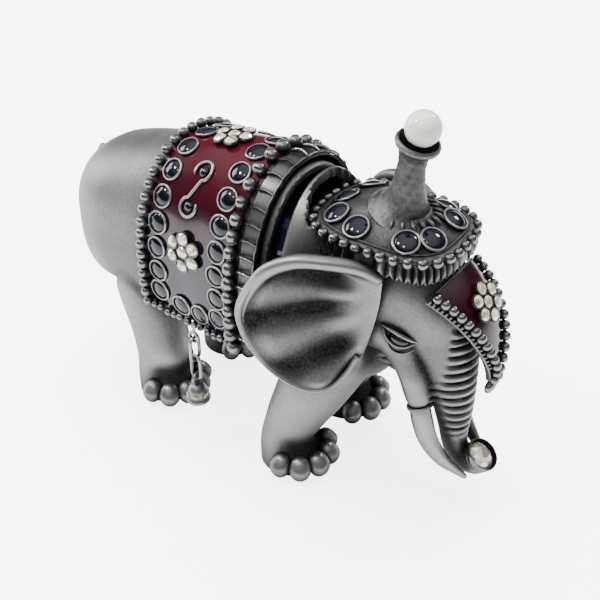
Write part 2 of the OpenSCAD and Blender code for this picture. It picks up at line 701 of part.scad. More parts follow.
module at_cap_stones() {
    for (a = [20 : 40 : 340]) let (p = cap_pt(a, 0.76, cap_base + 0.9 + cap_dome * 0.36), n = cap_out(a))
        translate(p + [0, 0, 0.42]) facing(unit([n[0] * 0.35, n[1] * 0.35, 1])) children();
}
module headdress_bezels() {
    color(pewter) front() at_cap_stones() translate([0, 0, bezel_wire_r + 0.15])
        ring(cab_r + bezel_wire_r - 0.06, bezel_wire_r);
}
module headdress_cabochons() {
    color(navy) front() at_cap_stones() translate([0, 0, 0.15]) dome(cab_r - 0.1, 0.75);
}

column_foot = [cap_x, 0, cap_base + 0.9 + cap_dome];
module on_column() { translate(column_foot) rotate([0, column_lean, 0]) children(); }
cup_r = 3.1;
module finial_column() {
    color(dark_pewter) front() difference() {
        on_column() difference() {
            rotate_extrude() polygon([[0, -2], [4.4, -2], [4.2, 0.1], [3.4, 0.9], [2.7, 2.2], [2.2, 4], [1.95, 6],
                [2, column_h - 3], [2.3, column_h - 2], [cup_r, column_h - 0.7], [cup_r, column_h],
                [cup_r - 0.5, column_h], [1.6, column_h - 0.9], [0, column_h - 1]]);
            translate([0, 0, column_h - 3.4]) cylinder(r = peg_r + seat_gap, h = 10);
        }
        translate([-big / 2, -big / 2, column_foot[2] + seat_gap - big]) cube(big);
    }
}
peg_r = 0.35;
pearl_z = column_h - 1 + pearl_d / 2 + 0.35;
module pearl_peg() {
    color(dark_pewter) front() on_column() translate([0, 0, column_h - 3.35]) cylinder(r = peg_r, h = 4.6);
}
module pearl() {
    color([0.95, 0.93, 0.87]) front() on_column() difference() {
        translate([0, 0, pearl_z]) sphere(r = pearl_d / 2, $fn = 64);
        translate([0, 0, pearl_z - pearl_d]) cylinder(r = peg_r + seat_gap, h = pearl_d);
    }
}

// ---- forehead ----

panel_top_a = 54;
panel_low_a = -13;
panel_top_w = 5;
module brow_wedge(grow) {
    top = brow_z + brow_r * sin(panel_top_a);
    low = brow_z + brow_r * sin(panel_low_a);
    rotate([90, 0, 90]) linear_extrude(big)
        polygon([[-panel_top_w + grow, top], [panel_top_w - grow, top], [0.5, low + grow], [-0.5, low + grow]]);
}
module forehead_panel() {
    color(pewter) front() intersection() {
        brow_band(brow_r, brow_r + panel_t, 9);
        brow_wedge(0);
    }
}
module forehead_enamel() {
    color(burgundy) front() intersection() {
        brow_band(brow_r + panel_t + seat_gap, brow_r + panel_t + seat_gap + 0.15, 9);
        brow_wedge(1.5);
    }
}
module on_brow(a, y) {
    translate([brow_x, 0, brow_z]) rotate([0, 90 - a, 0]) translate([0, y, brow_r + panel_t + 0.2 + seat_gap]) children();
}
edge_bead_r = 0.62;
edge_n = 13;
module forehead_beads() {
    color(pewter) front() for (s = [-1, 1], i = [0 : edge_n - 1]) let (u = i / (edge_n - 1))
        on_brow(mix(panel_top_a - 3, panel_low_a + 2.5, u), s * mix(panel_top_w - 0.9, 0.75, u))
            translate([0, 0, edge_bead_r]) sphere(r = edge_bead_r);
}
brow_flower_a = 37;
module at_brow_flower() { on_brow(brow_flower_a, 0) translate([0, 0, 0.3]) seven(flower_pitch * 0.92) children(); }
module forehead_cups() { color(pewter) front() at_brow_flower() stone_cup(stone_r * 0.9); }
module forehead_stones() {
    color(stone_white) front() at_brow_flower() translate([0, 0, 0.24]) cut_stone(stone_r * 0.9);
}
module forehead_drop() {
    color(pewter) front() on_brow(panel_low_a - 3.2, 0) dome(1.3, 1);
}

rear_casting();
tail();
hind_toes();
saddle_cloth();
cloth_enamel();
cloth_rear_beads();
cloth_front_beads();
cloth_hem_beads();
collar_frill();
cloth_bezels();
cloth_cabochons();
cloth_scrolls();
cloth_flower_cups();
cloth_flower_stones();
rear_lining();
rear_hinge_leaf();
hinge_pin();
rear_magnet();
charm_eye();
upper_link();
lower_link();
bell_charm();
bell_stones();
front_casting();
fore_toes();
head_casting();
right_ear();
left_ear();
right_tusk();
left_tusk();
right_eye();
left_eye();
trunk_cup();
trunk_crystal();
headdress_cap();
headdress_fringe();
headdress_beads();
headdress_bezels();
headdress_cabochons();
finial_column();
pearl_peg();
pearl();
forehead_panel();
forehead_enamel();
forehead_beads();
forehead_cups();
forehead_stones();
forehead_drop();
front_lining();
locating_tongue();
front_magnet();
front_hinge_leaf();
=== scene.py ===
from math import acos, atan2, cos, hypot, pi, radians, sin

import bpy
import numpy as np
from mathutils import Matrix, Vector


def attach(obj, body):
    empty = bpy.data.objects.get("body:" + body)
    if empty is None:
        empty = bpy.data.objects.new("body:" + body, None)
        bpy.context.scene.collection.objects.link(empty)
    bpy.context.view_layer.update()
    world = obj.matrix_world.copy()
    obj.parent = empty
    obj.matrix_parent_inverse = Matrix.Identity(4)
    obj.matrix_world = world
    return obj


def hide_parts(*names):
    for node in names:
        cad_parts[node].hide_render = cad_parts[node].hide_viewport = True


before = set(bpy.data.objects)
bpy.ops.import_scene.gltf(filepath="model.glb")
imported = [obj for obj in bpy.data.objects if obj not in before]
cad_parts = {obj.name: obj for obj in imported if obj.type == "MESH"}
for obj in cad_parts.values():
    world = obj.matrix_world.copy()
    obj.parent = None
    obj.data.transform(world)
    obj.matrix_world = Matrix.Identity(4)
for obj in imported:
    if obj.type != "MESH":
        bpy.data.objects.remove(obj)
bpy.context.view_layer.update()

# ------------ the box, in millimetres
# Everything is modelled with the parting face at x = 0 and the head towards +X, then put in place.
BARREL_L, RUMP_R, HALF_W, MID_Z = 35.0, 11.8, 11.2, 30.0
RISE, DROP, WALL, NECK_L, NECK_W, CAP_RISE = 18.6, 12.6, 1.3, 12.0, 8.0, 14.6
SEAT = (7.3, 0.18, 0.0)
HINGE_Y, OPEN_DEG = 12.7, 5.0
TRIM_E = 1.0
FRONT_ROW_X, CLOTH_X0, CLOTH_X1 = -5.22, -24.0, -2.82
CLOTH_MID = 0.5 * (CLOTH_X0 + FRONT_ROW_X)
CAP_X, CAP_L, CAP_W, CAP_BASE = 12.9, 10.4, 8.2, 44.1
BROW = (14.3, 27.6, 15.4)
BROW_R = 8.5
ROUND_POWER, FLAT_POWER = 2.2, 4.5  # how round the back and how square the belly is
LEG_Y, HIND_X, FORE_X, SPLAY = 8.1, -24.0, 2.2, 16
FLOOR_BAND = 0.25
FRONT, REAR = "front_half", "rear_half"
BODY_VOXEL, HEAD_VOXEL = 0.42, 0.26
BODY_RELIEF = (90, 1.1)
rng = np.random.default_rng(7)


def ease(u):
    v = np.clip(u, 0, 1)
    return v * v * (3 - 2 * v)


def mix(a, b, u):
    return a + (b - a) * u


def sq(s, n):
    return np.sign(s) * np.abs(s) ** (2.0 / n)


def move(x, y, z):
    return Matrix.Translation((x, y, z))


def about(degrees, axis):
    return Matrix.Rotation(radians(degrees), 4, axis)


def lengths(points):
    """How far along the row each point lies."""
    return np.r_[0, np.cumsum(np.linalg.norm(np.diff(points, axis=0), axis=1))]


def pick(v, rows):
    """The number of the row at v, which runs from 0 to 1."""
    return np.rint(v * (len(rows) - 1)).astype(int)


def profile(x):
    """Half width, rise and drop of the barrel at x."""
    x = np.asarray(x, float)
    k = np.where(x >= -BARREL_L, 1.0, np.sqrt(np.clip(1 - ((x + BARREL_L) / RUMP_R) ** 2, 0, 1)))
    u = np.clip((x + BARREL_L) / BARREL_L, 0, 1)
    w = ease(x / NECK_L)
    half = np.where(x <= 0, k * mix(RUMP_R, HALF_W, ease(u)), mix(HALF_W, NECK_W, w))
    up = np.where(x <= 0, k * mix(RUMP_R, RISE, np.sin(pi / 2 * u) ** 0.8), mix(RISE, CAP_RISE - 1, w))
    low = np.where(x <= 0, k * mix(RUMP_R, DROP, u), mix(DROP, DROP - 5, w))
    return half, up, low


def soft_profile(x):
    """The same, with the turn from back to rump drawn smooth as the metal is."""
    x = np.asarray(x, float)
    half, up, low = profile(x)
    w = np.clip(np.minimum((CLOTH_X0 - 1 - x) * 0.8, (x + BARREL_L + RUMP_R) * 0.45), 0, 5)
    up = sum(profile(x + w * k)[1] for k in np.linspace(-1, 1, 11)) / 11
    return half, up, low


def skin(x, a, e=0.0, k=1.0):
    """Point of the barrel at x and angle a from the top, e proud of it, drawn in by k."""
    x, a = np.broadcast_arrays(np.asarray(x, float), np.asarray(a, float))
    half, up, low = profile(x)
    t = np.radians(a)
    top = np.cos(t) >= 0
    n = np.where(top, ROUND_POWER, FLAT_POWER)
    y = (half + e) * k * sq(np.sin(t), n)
    z = MID_Z + (np.where(top, up, low) + e) * k * sq(np.cos(t), n)
    return np.stack([x, y, z], -1)


def skin_normal(x, a):
    c = np.cross(skin(x, a - 1) - skin(x, a + 1), skin(x + 0.1, a) - skin(x - 0.1, a))
    return c / np.linalg.norm(c, axis=-1, keepdims=True)


def proud(x, a, e):
    return skin(x, a) + skin_normal(x, a) * np.asarray(e)[..., None]


def facing(n):
    return Matrix.Rotation(atan2(n[1], n[0]), 4, "Z") @ Matrix.Rotation(acos(max(-1, min(1, n[2]))), 4, "Y")


def on_skin(x, a, e):
    n = skin_normal(x, a)
    return Matrix.Translation(Vector(skin(x, a) + n * e)) @ facing(n)


def even_angles(x, e, a1, pitch):
    a = np.linspace(-a1, a1, 241)
    run = lengths(skin(x, a, e))
    n = int(run[-1] // pitch)
    return np.interp(np.arange(n + 1) * run[-1] / n, run, a)


def cap_pt(a, k=1.0, z=0.0):
    t = np.radians(a)
    return np.stack([CAP_X + CAP_L * k * sq(np.cos(t), 3), CAP_W * k * sq(np.sin(t), 3),
        np.zeros_like(t) + z], -1)


def cap_out(a):
    d = cap_pt(np.asarray(a + 1.0)) - cap_pt(np.asarray(a - 1.0))
    return np.array([d[1], -d[0], 0]) / hypot(d[0], d[1])


def on_brow(a, s, lift=0.0):
    """A place on the forehead at angle a, s round from its middle line, +Z outwards."""
    m = move(BROW[0], 0, BROW[1]) @ about(90 - a, "Y")
    m = m @ move(0, 0, BROW[2] + 0.93 - BROW_R) @ Matrix.Rotation(-s / BROW_R, 4, "X")
    return m @ move(0, 0, BROW_R + lift)


def spline(points, n):
    """n points along a smooth curve through the given rows."""
    p = np.asarray(points, float)
    m = len(p) - 1
    q = np.vstack([2 * p[0] - p[1], p, 2 * p[-1] - p[-2]])
    t = np.linspace(0, m, n)
    i = np.minimum(t.astype(int), m - 1)
    f = (t - i)[:, None]
    a, b, c, d = q[i], q[i + 1], q[i + 2], q[i + 3]
    return 0.5 * (2 * b + (c - a) * f + (2 * a - 5 * b + 4 * c - d) * f**2 + (3 * b - a - 3 * c + d) * f**3)


# ------------ hand tools
def deselect():
    bpy.ops.object.select_all(action="DESELECT")


def only(obj):
    deselect()
    obj.select_set(True)
    bpy.context.view_layer.objects.active = obj
    return obj


def coords(obj):
    a = np.empty(len(obj.data.vertices) * 3)
    obj.data.vertices.foreach_get("co", a)
    return a.reshape(-1, 3)


def set_coords(obj, a):
    obj.data.vertices.foreach_set("co", np.ascontiguousarray(a, float).ravel())
    obj.data.update()


def normals(obj):
    a = np.empty(len(obj.data.vertices) * 3)
    obj.data.vertex_normals.foreach_get("vector", a)
    return a.reshape(-1, 3)


def named(name):
    obj = only(bpy.context.active_object)
    bpy.ops.object.transform_apply(location=True, rotation=True, scale=True)
    obj.name = obj.data.name = name
    return obj


def finish_with(obj, kind, **settings):
    only(obj)
    mod = obj.modifiers.new(kind, kind)
    for key, value in settings.items():
        setattr(mod, key, value)
    bpy.ops.object.modifier_apply(modifier=mod.name)
    return obj


def thicken(obj, thickness, offset=-1.0):
    return finish_with(obj, "SOLIDIFY", thickness=thickness, offset=offset)


def tidy(obj, gap=1e-4):
    """Merges doubles and turns the faces outwards."""
    only(obj)
    bpy.ops.object.mode_set(mode="EDIT")
    bpy.ops.mesh.select_all(action="SELECT")
    bpy.ops.mesh.remove_doubles(threshold=gap)
    bpy.ops.mesh.delete_loose()
    bpy.ops.mesh.select_all(action="SELECT")
    bpy.ops.mesh.normals_make_consistent(inside=False)
    bpy.ops.object.mode_set(mode="OBJECT")
    return obj


def sheet(name, nu, nv, shape):
    """A subdivided grid laid on shape(u, v), u and v running from 0 to 1."""
    deselect()
    bpy.ops.mesh.primitive_grid_add(x_subdivisions=nu, y_subdivisions=nv, size=1)
    obj = named(name)
    c = coords(obj)
    set_coords(obj, shape(c[:, 0] + 0.5, c[:, 1] + 0.5))
    return tidy(obj)


def rod(name, path, radii, around, steps, flat=1.0, up=(0, 1, 0), blunt=True):
    """A tapering rod swept along a path; flat squeezes it along up."""
    rows = spline(np.column_stack([np.asarray(path, float), radii]), steps)
    p, r = rows[:, :3], np.maximum(rows[:, 3], 0.01)
    tan = np.gradient(p, axis=0)
    tan /= np.linalg.norm(tan, axis=1, keepdims=True)
    side = np.cross(tan, np.asarray(up, float))
    side /= np.maximum(np.linalg.norm(side, axis=1, keepdims=True), 1e-9)
    top = np.cross(side, tan)
    if blunt:  # half-round ends
        k = 5
        t = np.linspace(0, pi / 2, k + 1)[:-1]
        head = [(p[0] - tan[0] * r[0] * cos(q), r[0] * sin(q)) for q in t]
        tail = [(p[-1] + tan[-1] * r[-1] * cos(q), r[-1] * sin(q)) for q in t[::-1]]
        p = np.vstack([[h[0] for h in head], p, [h[0] for h in tail]])
        r = np.r_[[h[1] for h in head], r, [h[1] for h in tail]]
        side = np.vstack([[side[0]] * k, side, [side[-1]] * k])
        top = np.vstack([[top[0]] * k, top, [top[-1]] * k])
    n = len(p)

    def shape(u, v):
        i = pick(v, p)
        t = 2 * pi * u
        return p[i] + (side[i] * np.cos(t)[:, None] + top[i] * (flat * np.sin(t))[:, None]) * r[i][:, None]

    return sheet(name, around, n - 1, shape)


def ball(name, at, radii, segments=32, rings=20):
    deselect()
    bpy.ops.mesh.primitive_uv_sphere_add(segments=segments, ring_count=rings, radius=1)
    obj = named(name)
    set_coords(obj, coords(obj) * np.asarray(radii) + np.asarray(at))
    return obj


def join(name, parts):
    deselect()
    for p in parts:
        p.select_set(True)
    bpy.context.view_layer.objects.active = parts[0]
    if len(parts) > 1:
        bpy.ops.object.join()
    obj = bpy.context.active_object
    obj.name = obj.data.name = name
    return obj


def repeat(name, pattern, places):
    """One copy of the pattern, with its own mesh, at each place; the pattern itself is removed."""
    parts = []
    for m in places:
        obj = pattern.copy()
        obj.data = pattern.data.copy()
        bpy.context.collection.objects.link(obj)
        obj.data.transform(m)
        parts.append(obj)
    bpy.data.objects.remove(pattern)
    return join(name, parts)


def revolve(name, outline, around):
    """A turned shape from an outline of (radius, height)."""
    o = np.asarray(outline, float)

    def shape(u, v):
        i = pick(v, o)
        t = 2 * pi * u
        return np.stack([o[i, 0] * np.cos(t), o[i, 0] * np.sin(t), o[i, 1]], -1)

    return sheet(name, around, len(o) - 1, shape)


def dome(name, r, rise, sunk, steps, around):
    """A half-round stone whose edge lies sunk below its seat."""
    outline = [(r * cos(t), rise * sin(t) - sunk) for t in np.linspace(0, pi / 2, steps)]
    return revolve(name, outline, around)


def torus(name, r, wire, around=28, sides=10):
    deselect()
    bpy.ops.mesh.primitive_torus_add(major_radius=r, minor_radius=wire, major_segments=around,
        minor_segments=sides)
    return named(name)


def rub(obj, steps=40, reach=0.5):
    """Records how far each point stands proud of its surroundings, as a polishing cloth would find it."""
    me, c = obj.data, coords(obj)
    e = np.empty(len(me.edges) * 2, int)
    me.edges.foreach_get("vertices", e)
    a, b = e[::2], e[1::2]
    near = np.maximum(np.bincount(e, minlength=len(c)), 1)
    q = c.copy()
    for _ in range(steps):
        for k in range(3):
            q[:, k] = (np.bincount(a, q[b, k], len(c)) + np.bincount(b, q[a, k], len(c))) / near
    d = ((c - q) * normals(obj)).sum(1) / reach
    me.attributes.new("rub", "FLOAT", "POINT").data.foreach_set("value", np.clip(0.5 + 0.5 * d, 0, 1))


def swing():
    """Turns the front half open about its hinge."""
    return move(0, HINGE_Y, 0) @ about(OPEN_DEG, "Z") @ move(0, -HINGE_Y, 0)


def dress(obj, material, body, smooth=60, relief=(40, 0.5)):
    """Puts a finished piece in its place, with its finish, its body and the CAD node of the same name."""
    nodes = [obj.name.split(".")[0]]
    if material.name in RUBBED:
        rub(obj, *relief)
    m = Matrix.Scale(0.001, 4) @ Matrix.Translation(SEAT)
    obj.data.transform(m @ swing() if body == FRONT else m)
    obj.data.update()
    only(obj)
    if smooth:
        bpy.ops.object.shade_smooth_by_angle(angle=radians(smooth))
    else:
        bpy.ops.object.shade_flat()
    obj.data.materials.clear()
    obj.data.materials.append(material)
    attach(obj, body)
    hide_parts(*nodes)
    return obj


RUBBED = set()


# ------------ finishes
def wire(nt, a, b):
    nt.links.new(a, b)


def node(nt, kind, **inputs):
    n = nt.nodes.new(kind)
    for key, value in inputs.items():
        if key in n.inputs:
            n.inputs[key].default_value = value
        else:
            setattr(n, key, value)
    return n


def put(target, values):
    for key, value in values.items():
        target.inputs[key].default_value = value


def calc(nt, operation, *values, clamp=False):
    """The result of one sum on sockets and numbers."""
    n = node(nt, "ShaderNodeMath", operation=operation, use_clamp=clamp)
    for socket, value in zip(n.inputs, values):
        if isinstance(value, bpy.types.NodeSocket):
            wire(nt, value, socket)
        else:
            socket.default_value = value
    return n.outputs[0]


def own_place(nt):
    return nt.nodes.new("ShaderNodeTexCoord").outputs["Object"]


def noise(nt, scale, **settings):
    n = node(nt, "ShaderNodeTexNoise", Scale=scale, **settings)
    wire(nt, own_place(nt), n.inputs["Vector"])
    return n.outputs["Fac"]


def bumped(nt, p, height, strength, distance):
    b = node(nt, "ShaderNodeBump", Strength=strength, Distance=distance)
    wire(nt, height, b.inputs["Height"])
    wire(nt, b.outputs["Normal"], p.inputs["Normal"])


def ramp(nt, source, stops):
    r = nt.nodes.new("ShaderNodeValToRGB")
    while len(r.color_ramp.elements) < len(stops):
        r.color_ramp.elements.new(0.5)
    for el, (pos, col) in zip(r.color_ramp.elements, stops):
        el.position = pos
        el.color = (*col, 1) if isinstance(col, tuple) else (col, col, col, 1)
    wire(nt, source, r.inputs["Fac"])
    return r.outputs["Color"]


def patina_and_shade_group():
    """Antiquing and painted shade: black laid in by ambient occlusion, the real patina in fine hollows and
    painted shade under and between parts; rubbed clean on what stands proud, and a fine cast grain.
    """
    g = bpy.data.node_groups.new("Patina and shade", "ShaderNodeTree")
    colour, number = "NodeSocketColor", "NodeSocketFloat"
    for name, value in {"Clean": (0.5, 0.5, 0.48, 1), "Black": (0.02, 0.02, 0.022, 1), "Reach": 0.002,
            "Depth": 1.0, "Patches": 0.25, "Grain": 0.3, "Polish": 0.34, "Relief": 0.6}.items():
        kind = colour if isinstance(value, tuple) else number
        g.interface.new_socket(name=name, in_out="INPUT", socket_type=kind).default_value = value
    for name, kind in (("Color", colour), ("Roughness", number), ("Height", number)):
        g.interface.new_socket(name=name, in_out="OUTPUT", socket_type=kind)
    given, result = g.nodes.new("NodeGroupInput").outputs, g.nodes.new("NodeGroupOutput").inputs
    ao = node(g, "ShaderNodeAmbientOcclusion", samples=8)
    wire(g, given["Reach"], ao.inputs["Distance"])
    patch = noise(g, 260.0, Detail=5.0, Roughness=0.62)
    fine = noise(g, 2600.0, Detail=3.0, Roughness=0.6)
    # how open the place is by ambient occlusion, pushed about by the patches; its black is patina in fine
    # hollows and painted shade under and between parts
    clear = calc(g, "MULTIPLY_ADD", calc(g, "SUBTRACT", patch, 0.5), given["Patches"], ao.outputs["AO"])
    clear = calc(g, "POWER", clear, given["Depth"], clamp=True)
    # how far it stands proud, broken up by the grain
    worn = node(g, "ShaderNodeMapRange")
    put(worn, {"From Min": 0.15, "From Max": 0.85, "To Min": 0.04})
    wire(g, given["Relief"], worn.inputs["Value"])
    speckled = calc(g, "SUBTRACT", calc(g, "MULTIPLY_ADD", fine, 0.5, worn.outputs["Result"]), 0.25)
    bare = calc(g, "MULTIPLY", clear, speckled, clamp=True)
    blend = node(g, "ShaderNodeMix", data_type="RGBA")
    wire(g, bare, blend.inputs["Factor"])
    wire(g, given["Black"], blend.inputs[6])
    wire(g, given["Clean"], blend.inputs[7])
    wire(g, blend.outputs[2], result["Color"])
    rough = node(g, "ShaderNodeMapRange")
    put(rough, {"To Min": 0.75})
    wire(g, bare, rough.inputs["Value"])
    wire(g, given["Polish"], rough.inputs["To Max"])
    wire(g, rough.outputs["Result"], result["Roughness"])
    wire(g, calc(g, "MULTIPLY_ADD", fine, given["Grain"], patch), result["Height"])
    return g


PATINA_AND_SHADE = patina_and_shade_group()


def material(name):
    m = bpy.data.materials.new(name)
    m.use_nodes = True
    nt = m.node_tree
    return m, nt, nt.nodes["Principled BSDF"]


def pewter(name, clean, reach, depth, patches, polish, grain=0.3, bump=0.12, relief=True):
    m, nt, p = material(name)
    g = nt.nodes.new("ShaderNodeGroup")
    g.node_tree = PATINA_AND_SHADE
    put(g, {"Clean": (*clean, 1), "Black": (0.012, 0.012, 0.014, 1), "Reach": reach, "Depth": depth,
        "Patches": patches, "Grain": grain, "Polish": polish})
    if relief:
        worn = node(nt, "ShaderNodeAttribute", attribute_name="rub")
        wire(nt, worn.outputs["Fac"], g.inputs["Relief"])
        RUBBED.add(name)
    wire(nt, g.outputs["Color"], p.inputs["Base Color"])
    wire(nt, g.outputs["Roughness"], p.inputs["Roughness"])
    bumped(nt, p, g.outputs["Height"], bump, 0.0002)
    put(p, {"Metallic": 1.0})
    return m


def enamel(name, stops, low_z, high_z, rough=0.08):
    """Glossy enamel whose colour runs with height."""
    swirl = 0.3
    m, nt, p = material(name)
    sep = nt.nodes.new("ShaderNodeSeparateXYZ")
    wire(nt, own_place(nt), sep.inputs["Vector"])
    n = noise(nt, 150.0, Detail=4.0)
    z = node(nt, "ShaderNodeMapRange")
    put(z, {"From Min": low_z, "From Max": high_z})
    wire(nt, sep.outputs["Z"], z.inputs["Value"])
    t = calc(nt, "SUBTRACT", calc(nt, "MULTIPLY_ADD", n, swirl, z.outputs["Result"]), swirl / 2)
    wire(nt, ramp(nt, t, stops), p.inputs["Base Color"])
    bumped(nt, p, n, 0.15, 0.0004)
    put(p, {"Roughness": rough, "Coat Weight": 0.5, "Coat Roughness": 0.03, "Specular IOR Level": 0.3})
    return m


def gem(name, pale, shaded_facet, scale):
    """Foil-backed cut stone: light and dark facets, up to near white, are painted into its colour at random
    as painted reflections.
    """
    m, nt, p = material(name)
    v = node(nt, "ShaderNodeTexVoronoi", Scale=scale)
    wire(nt, own_place(nt), v.inputs["Vector"])
    sep = nt.nodes.new("ShaderNodeSeparateColor")
    wire(nt, v.outputs["Color"], sep.inputs["Color"])
    middle = tuple(0.6 * a + 0.4 * b for a, b in zip(pale, shaded_facet))
    # painted reflections: each facet cell is given a shade from dark to near white at random
    stops = [(0.0, shaded_facet), (0.35, middle), (0.6, pale), (1.0, (0.98, 0.97, 0.9))]
    wire(nt, ramp(nt, sep.outputs["Red"], stops), p.inputs["Base Color"])
    put(p, {"Metallic": 0.55, "Roughness": 0.05, "Coat Weight": 1.0, "Coat Roughness": 0.02})
    return m


def pearly():
    m, nt, p = material("Pearl")
    # painted shade: the pearl's colour darkens and dulls from its face towards its rim, as seen from the
    # camera
    edge = node(nt, "ShaderNodeLayerWeight", Blend=0.35)
    stops = [(0.0, (0.74, 0.72, 0.63)), (0.6, (0.6, 0.58, 0.48)), (1.0, (0.42, 0.4, 0.32))]
    wire(nt, ramp(nt, edge.outputs["Facing"], stops), p.inputs["Base Color"])
    bumped(nt, p, noise(nt, 900.0, Detail=2.0), 0.03, 0.0001)
    put(p, {"Roughness": 0.22, "Coat Weight": 0.7, "Coat Roughness": 0.08, "Sheen Weight": 0.2})
    return m


# the wide reach on the body, ears and tusks lays painted shade under the belly and ears and between the
# legs, besides the patina in the hollows
PEWTER = pewter("Satin pewter", (0.3, 0.3, 0.292), reach=0.008, depth=1.6, patches=0.12, polish=0.42)
FACE_PEWTER = pewter("Antiqued pewter", (0.24, 0.24, 0.237), reach=0.003, depth=1.8, patches=0.4,
    polish=0.38)
EAR_PEWTER = pewter("Ear pewter", (0.27, 0.27, 0.267), reach=0.007, depth=1.8, patches=0.35, polish=0.4)
BEAD_PEWTER = pewter("Beaded pewter", (0.22, 0.22, 0.217), reach=0.0018, depth=2.2, patches=0.3,
    polish=0.22)
BRIGHT = pewter("Rubbed bright pewter", (0.36, 0.36, 0.35), reach=0.0008, depth=1.6, patches=0.2,
    polish=0.28)
DARK = pewter("Blackened pewter", (0.16, 0.16, 0.158), reach=0.0025, depth=1.8, patches=0.9, polish=0.42,
    bump=0.9, grain=0.6)
TUSK = pewter("Tusk pewter", (0.3, 0.3, 0.294), reach=0.005, depth=1.6, patches=0.2, polish=0.34)
CLOTH_ENAMEL = enamel("Cloth enamel", [(0.0, (0.006, 0.005, 0.012)), (0.5, (0.009, 0.005, 0.012)),
    (0.75, (0.025, 0.002, 0.006)), (1.0, (0.05, 0.002, 0.008))], 0.02, 0.05)
BROW_ENAMEL = enamel("Brow enamel", [(0.0, (0.01, 0.005, 0.01)), (0.5, (0.012, 0.002, 0.005)),
    (1.0, (0.022, 0.002, 0.006))], 0.024, 0.042)
LINING = enamel("Lining enamel", [(0.0, (0.002, 0.002, 0.01)), (1.0, (0.004, 0.004, 0.022))], 0.02, 0.05,
    rough=0.12)
CABOCHON = enamel("Cabochon enamel", [(0.0, (0.0012, 0.0016, 0.003)), (1.0, (0.002, 0.003, 0.007))], 0.02,
    0.05, rough=0.03)
STONE = gem("Champagne stone", (0.86, 0.82, 0.62), (0.28, 0.24, 0.14), 1500)
CRYSTAL = gem("Trunk crystal", (0.9, 0.87, 0.74), (0.3, 0.25, 0.17), 700)
PEARL = pearly()
HIDDEN = pewter("Plain pewter", (0.2, 0.2, 0.195), reach=0.003, depth=1.5, patches=0.2, polish=0.4,
    relief=False)
STEEL = pewter("Drawn steel", (0.6, 0.6, 0.6), reach=0.0006, depth=1.0, patches=0.1, polish=0.25,
    relief=False)
MAGNET = pewter("Plated magnet", (0.68, 0.68, 0.7), reach=0.0006, depth=0.8, patches=0.1, polish=0.2,
    relief=False)


# ------------ castings
def hollow_barrel(name, xs_out, xs_in, e_in, nu=120):
    """A closed shell: out along xs_out, over the rim, and back along xs_in, ending in poles."""
    rows = [(x, 0.0, 1.0) for x in xs_out] + [(x, e_in, 1.0) for x in xs_in]
    rows = [(xs_out[0], 0.0, 0.0)] + rows + [(xs_in[-1], e_in, 0.0)]
    rows = np.array(rows)

    def shape(u, v):
        i = pick(v, rows)
        return skin(rows[i, 0], 180 - 360 * u, rows[i, 1], rows[i, 2])

    return sheet(name, nu, len(rows) - 1, shape)


def scoop(obj, x0, x1):
    """Clears the hollow of the box between x0 and x1."""
    xs = np.array([x0] + list(np.linspace(x0, x1, 40)) + [x1])
    ks = np.array([0.0] + [1.0] * 40 + [0.0])

    def shape(u, v):
        i = pick(v, xs)
        return skin(xs[i], 180 - 360 * u, -WALL, ks[i])

    core = sheet("core", 120, len(xs) - 1, shape)
    finish_with(obj, "BOOLEAN", object=core, operation="DIFFERENCE", solver="MANIFOLD")
    bpy.data.objects.remove(core)


def fair_barrel(obj, x_lo, x_hi):
    """Draws the cast surface back on to the true barrel."""
    c = coords(obj)
    half, up, low = soft_profile(c[:, 0])
    dz = c[:, 2] - MID_Z
    n = np.where(dz >= 0, ROUND_POWER, FLAT_POWER)
    h, w, band = np.where(dz >= 0, up, low), half, 0.05
    ok = (w > 1) & (h > 1) & (c[:, 0] > x_lo) & (c[:, 0] < x_hi)
    r = (np.abs(c[:, 1] / np.where(ok, w, 1)) ** n + np.abs(dz / np.where(ok, h, 1)) ** n) ** (1 / n)
    k = np.where(ok, 1 - ease((np.abs(r - 1) - band * 0.5) / band), 0)
    t = mix(1.0, 1 / np.maximum(r, 0.05), k)
    c[:, 1] *= t
    c[:, 2] = MID_Z + dz * t
    set_coords(obj, c)


def cut(obj, at, normal):
    """Cuts away the side the normal points to."""
    only(obj)
    bpy.ops.object.mode_set(mode="EDIT")
    bpy.ops.mesh.select_all(action="SELECT")
    bpy.ops.mesh.bisect(plane_co=at, plane_no=normal, use_fill=True, clear_outer=True)
    bpy.ops.object.mode_set(mode="OBJECT")


def instep(c, n, x0):
    """Presses the hollow above the toes into both feet at x0."""
    for s in (-1, 1):
        dx, dy = c[:, 0] - x0, c[:, 1] - s * LEG_Y
        turn = np.degrees(np.arctan2(dy, dx)) - s * SPLAY
        k = (1 - ease((np.abs(turn) - 55) / 45)) * np.exp(-(((c[:, 2] - 4.6) / 2.2) ** 2)) * (np.hypot(dx,
            dy) < 8)
        c -= n * (1.5 * k)[:, None]


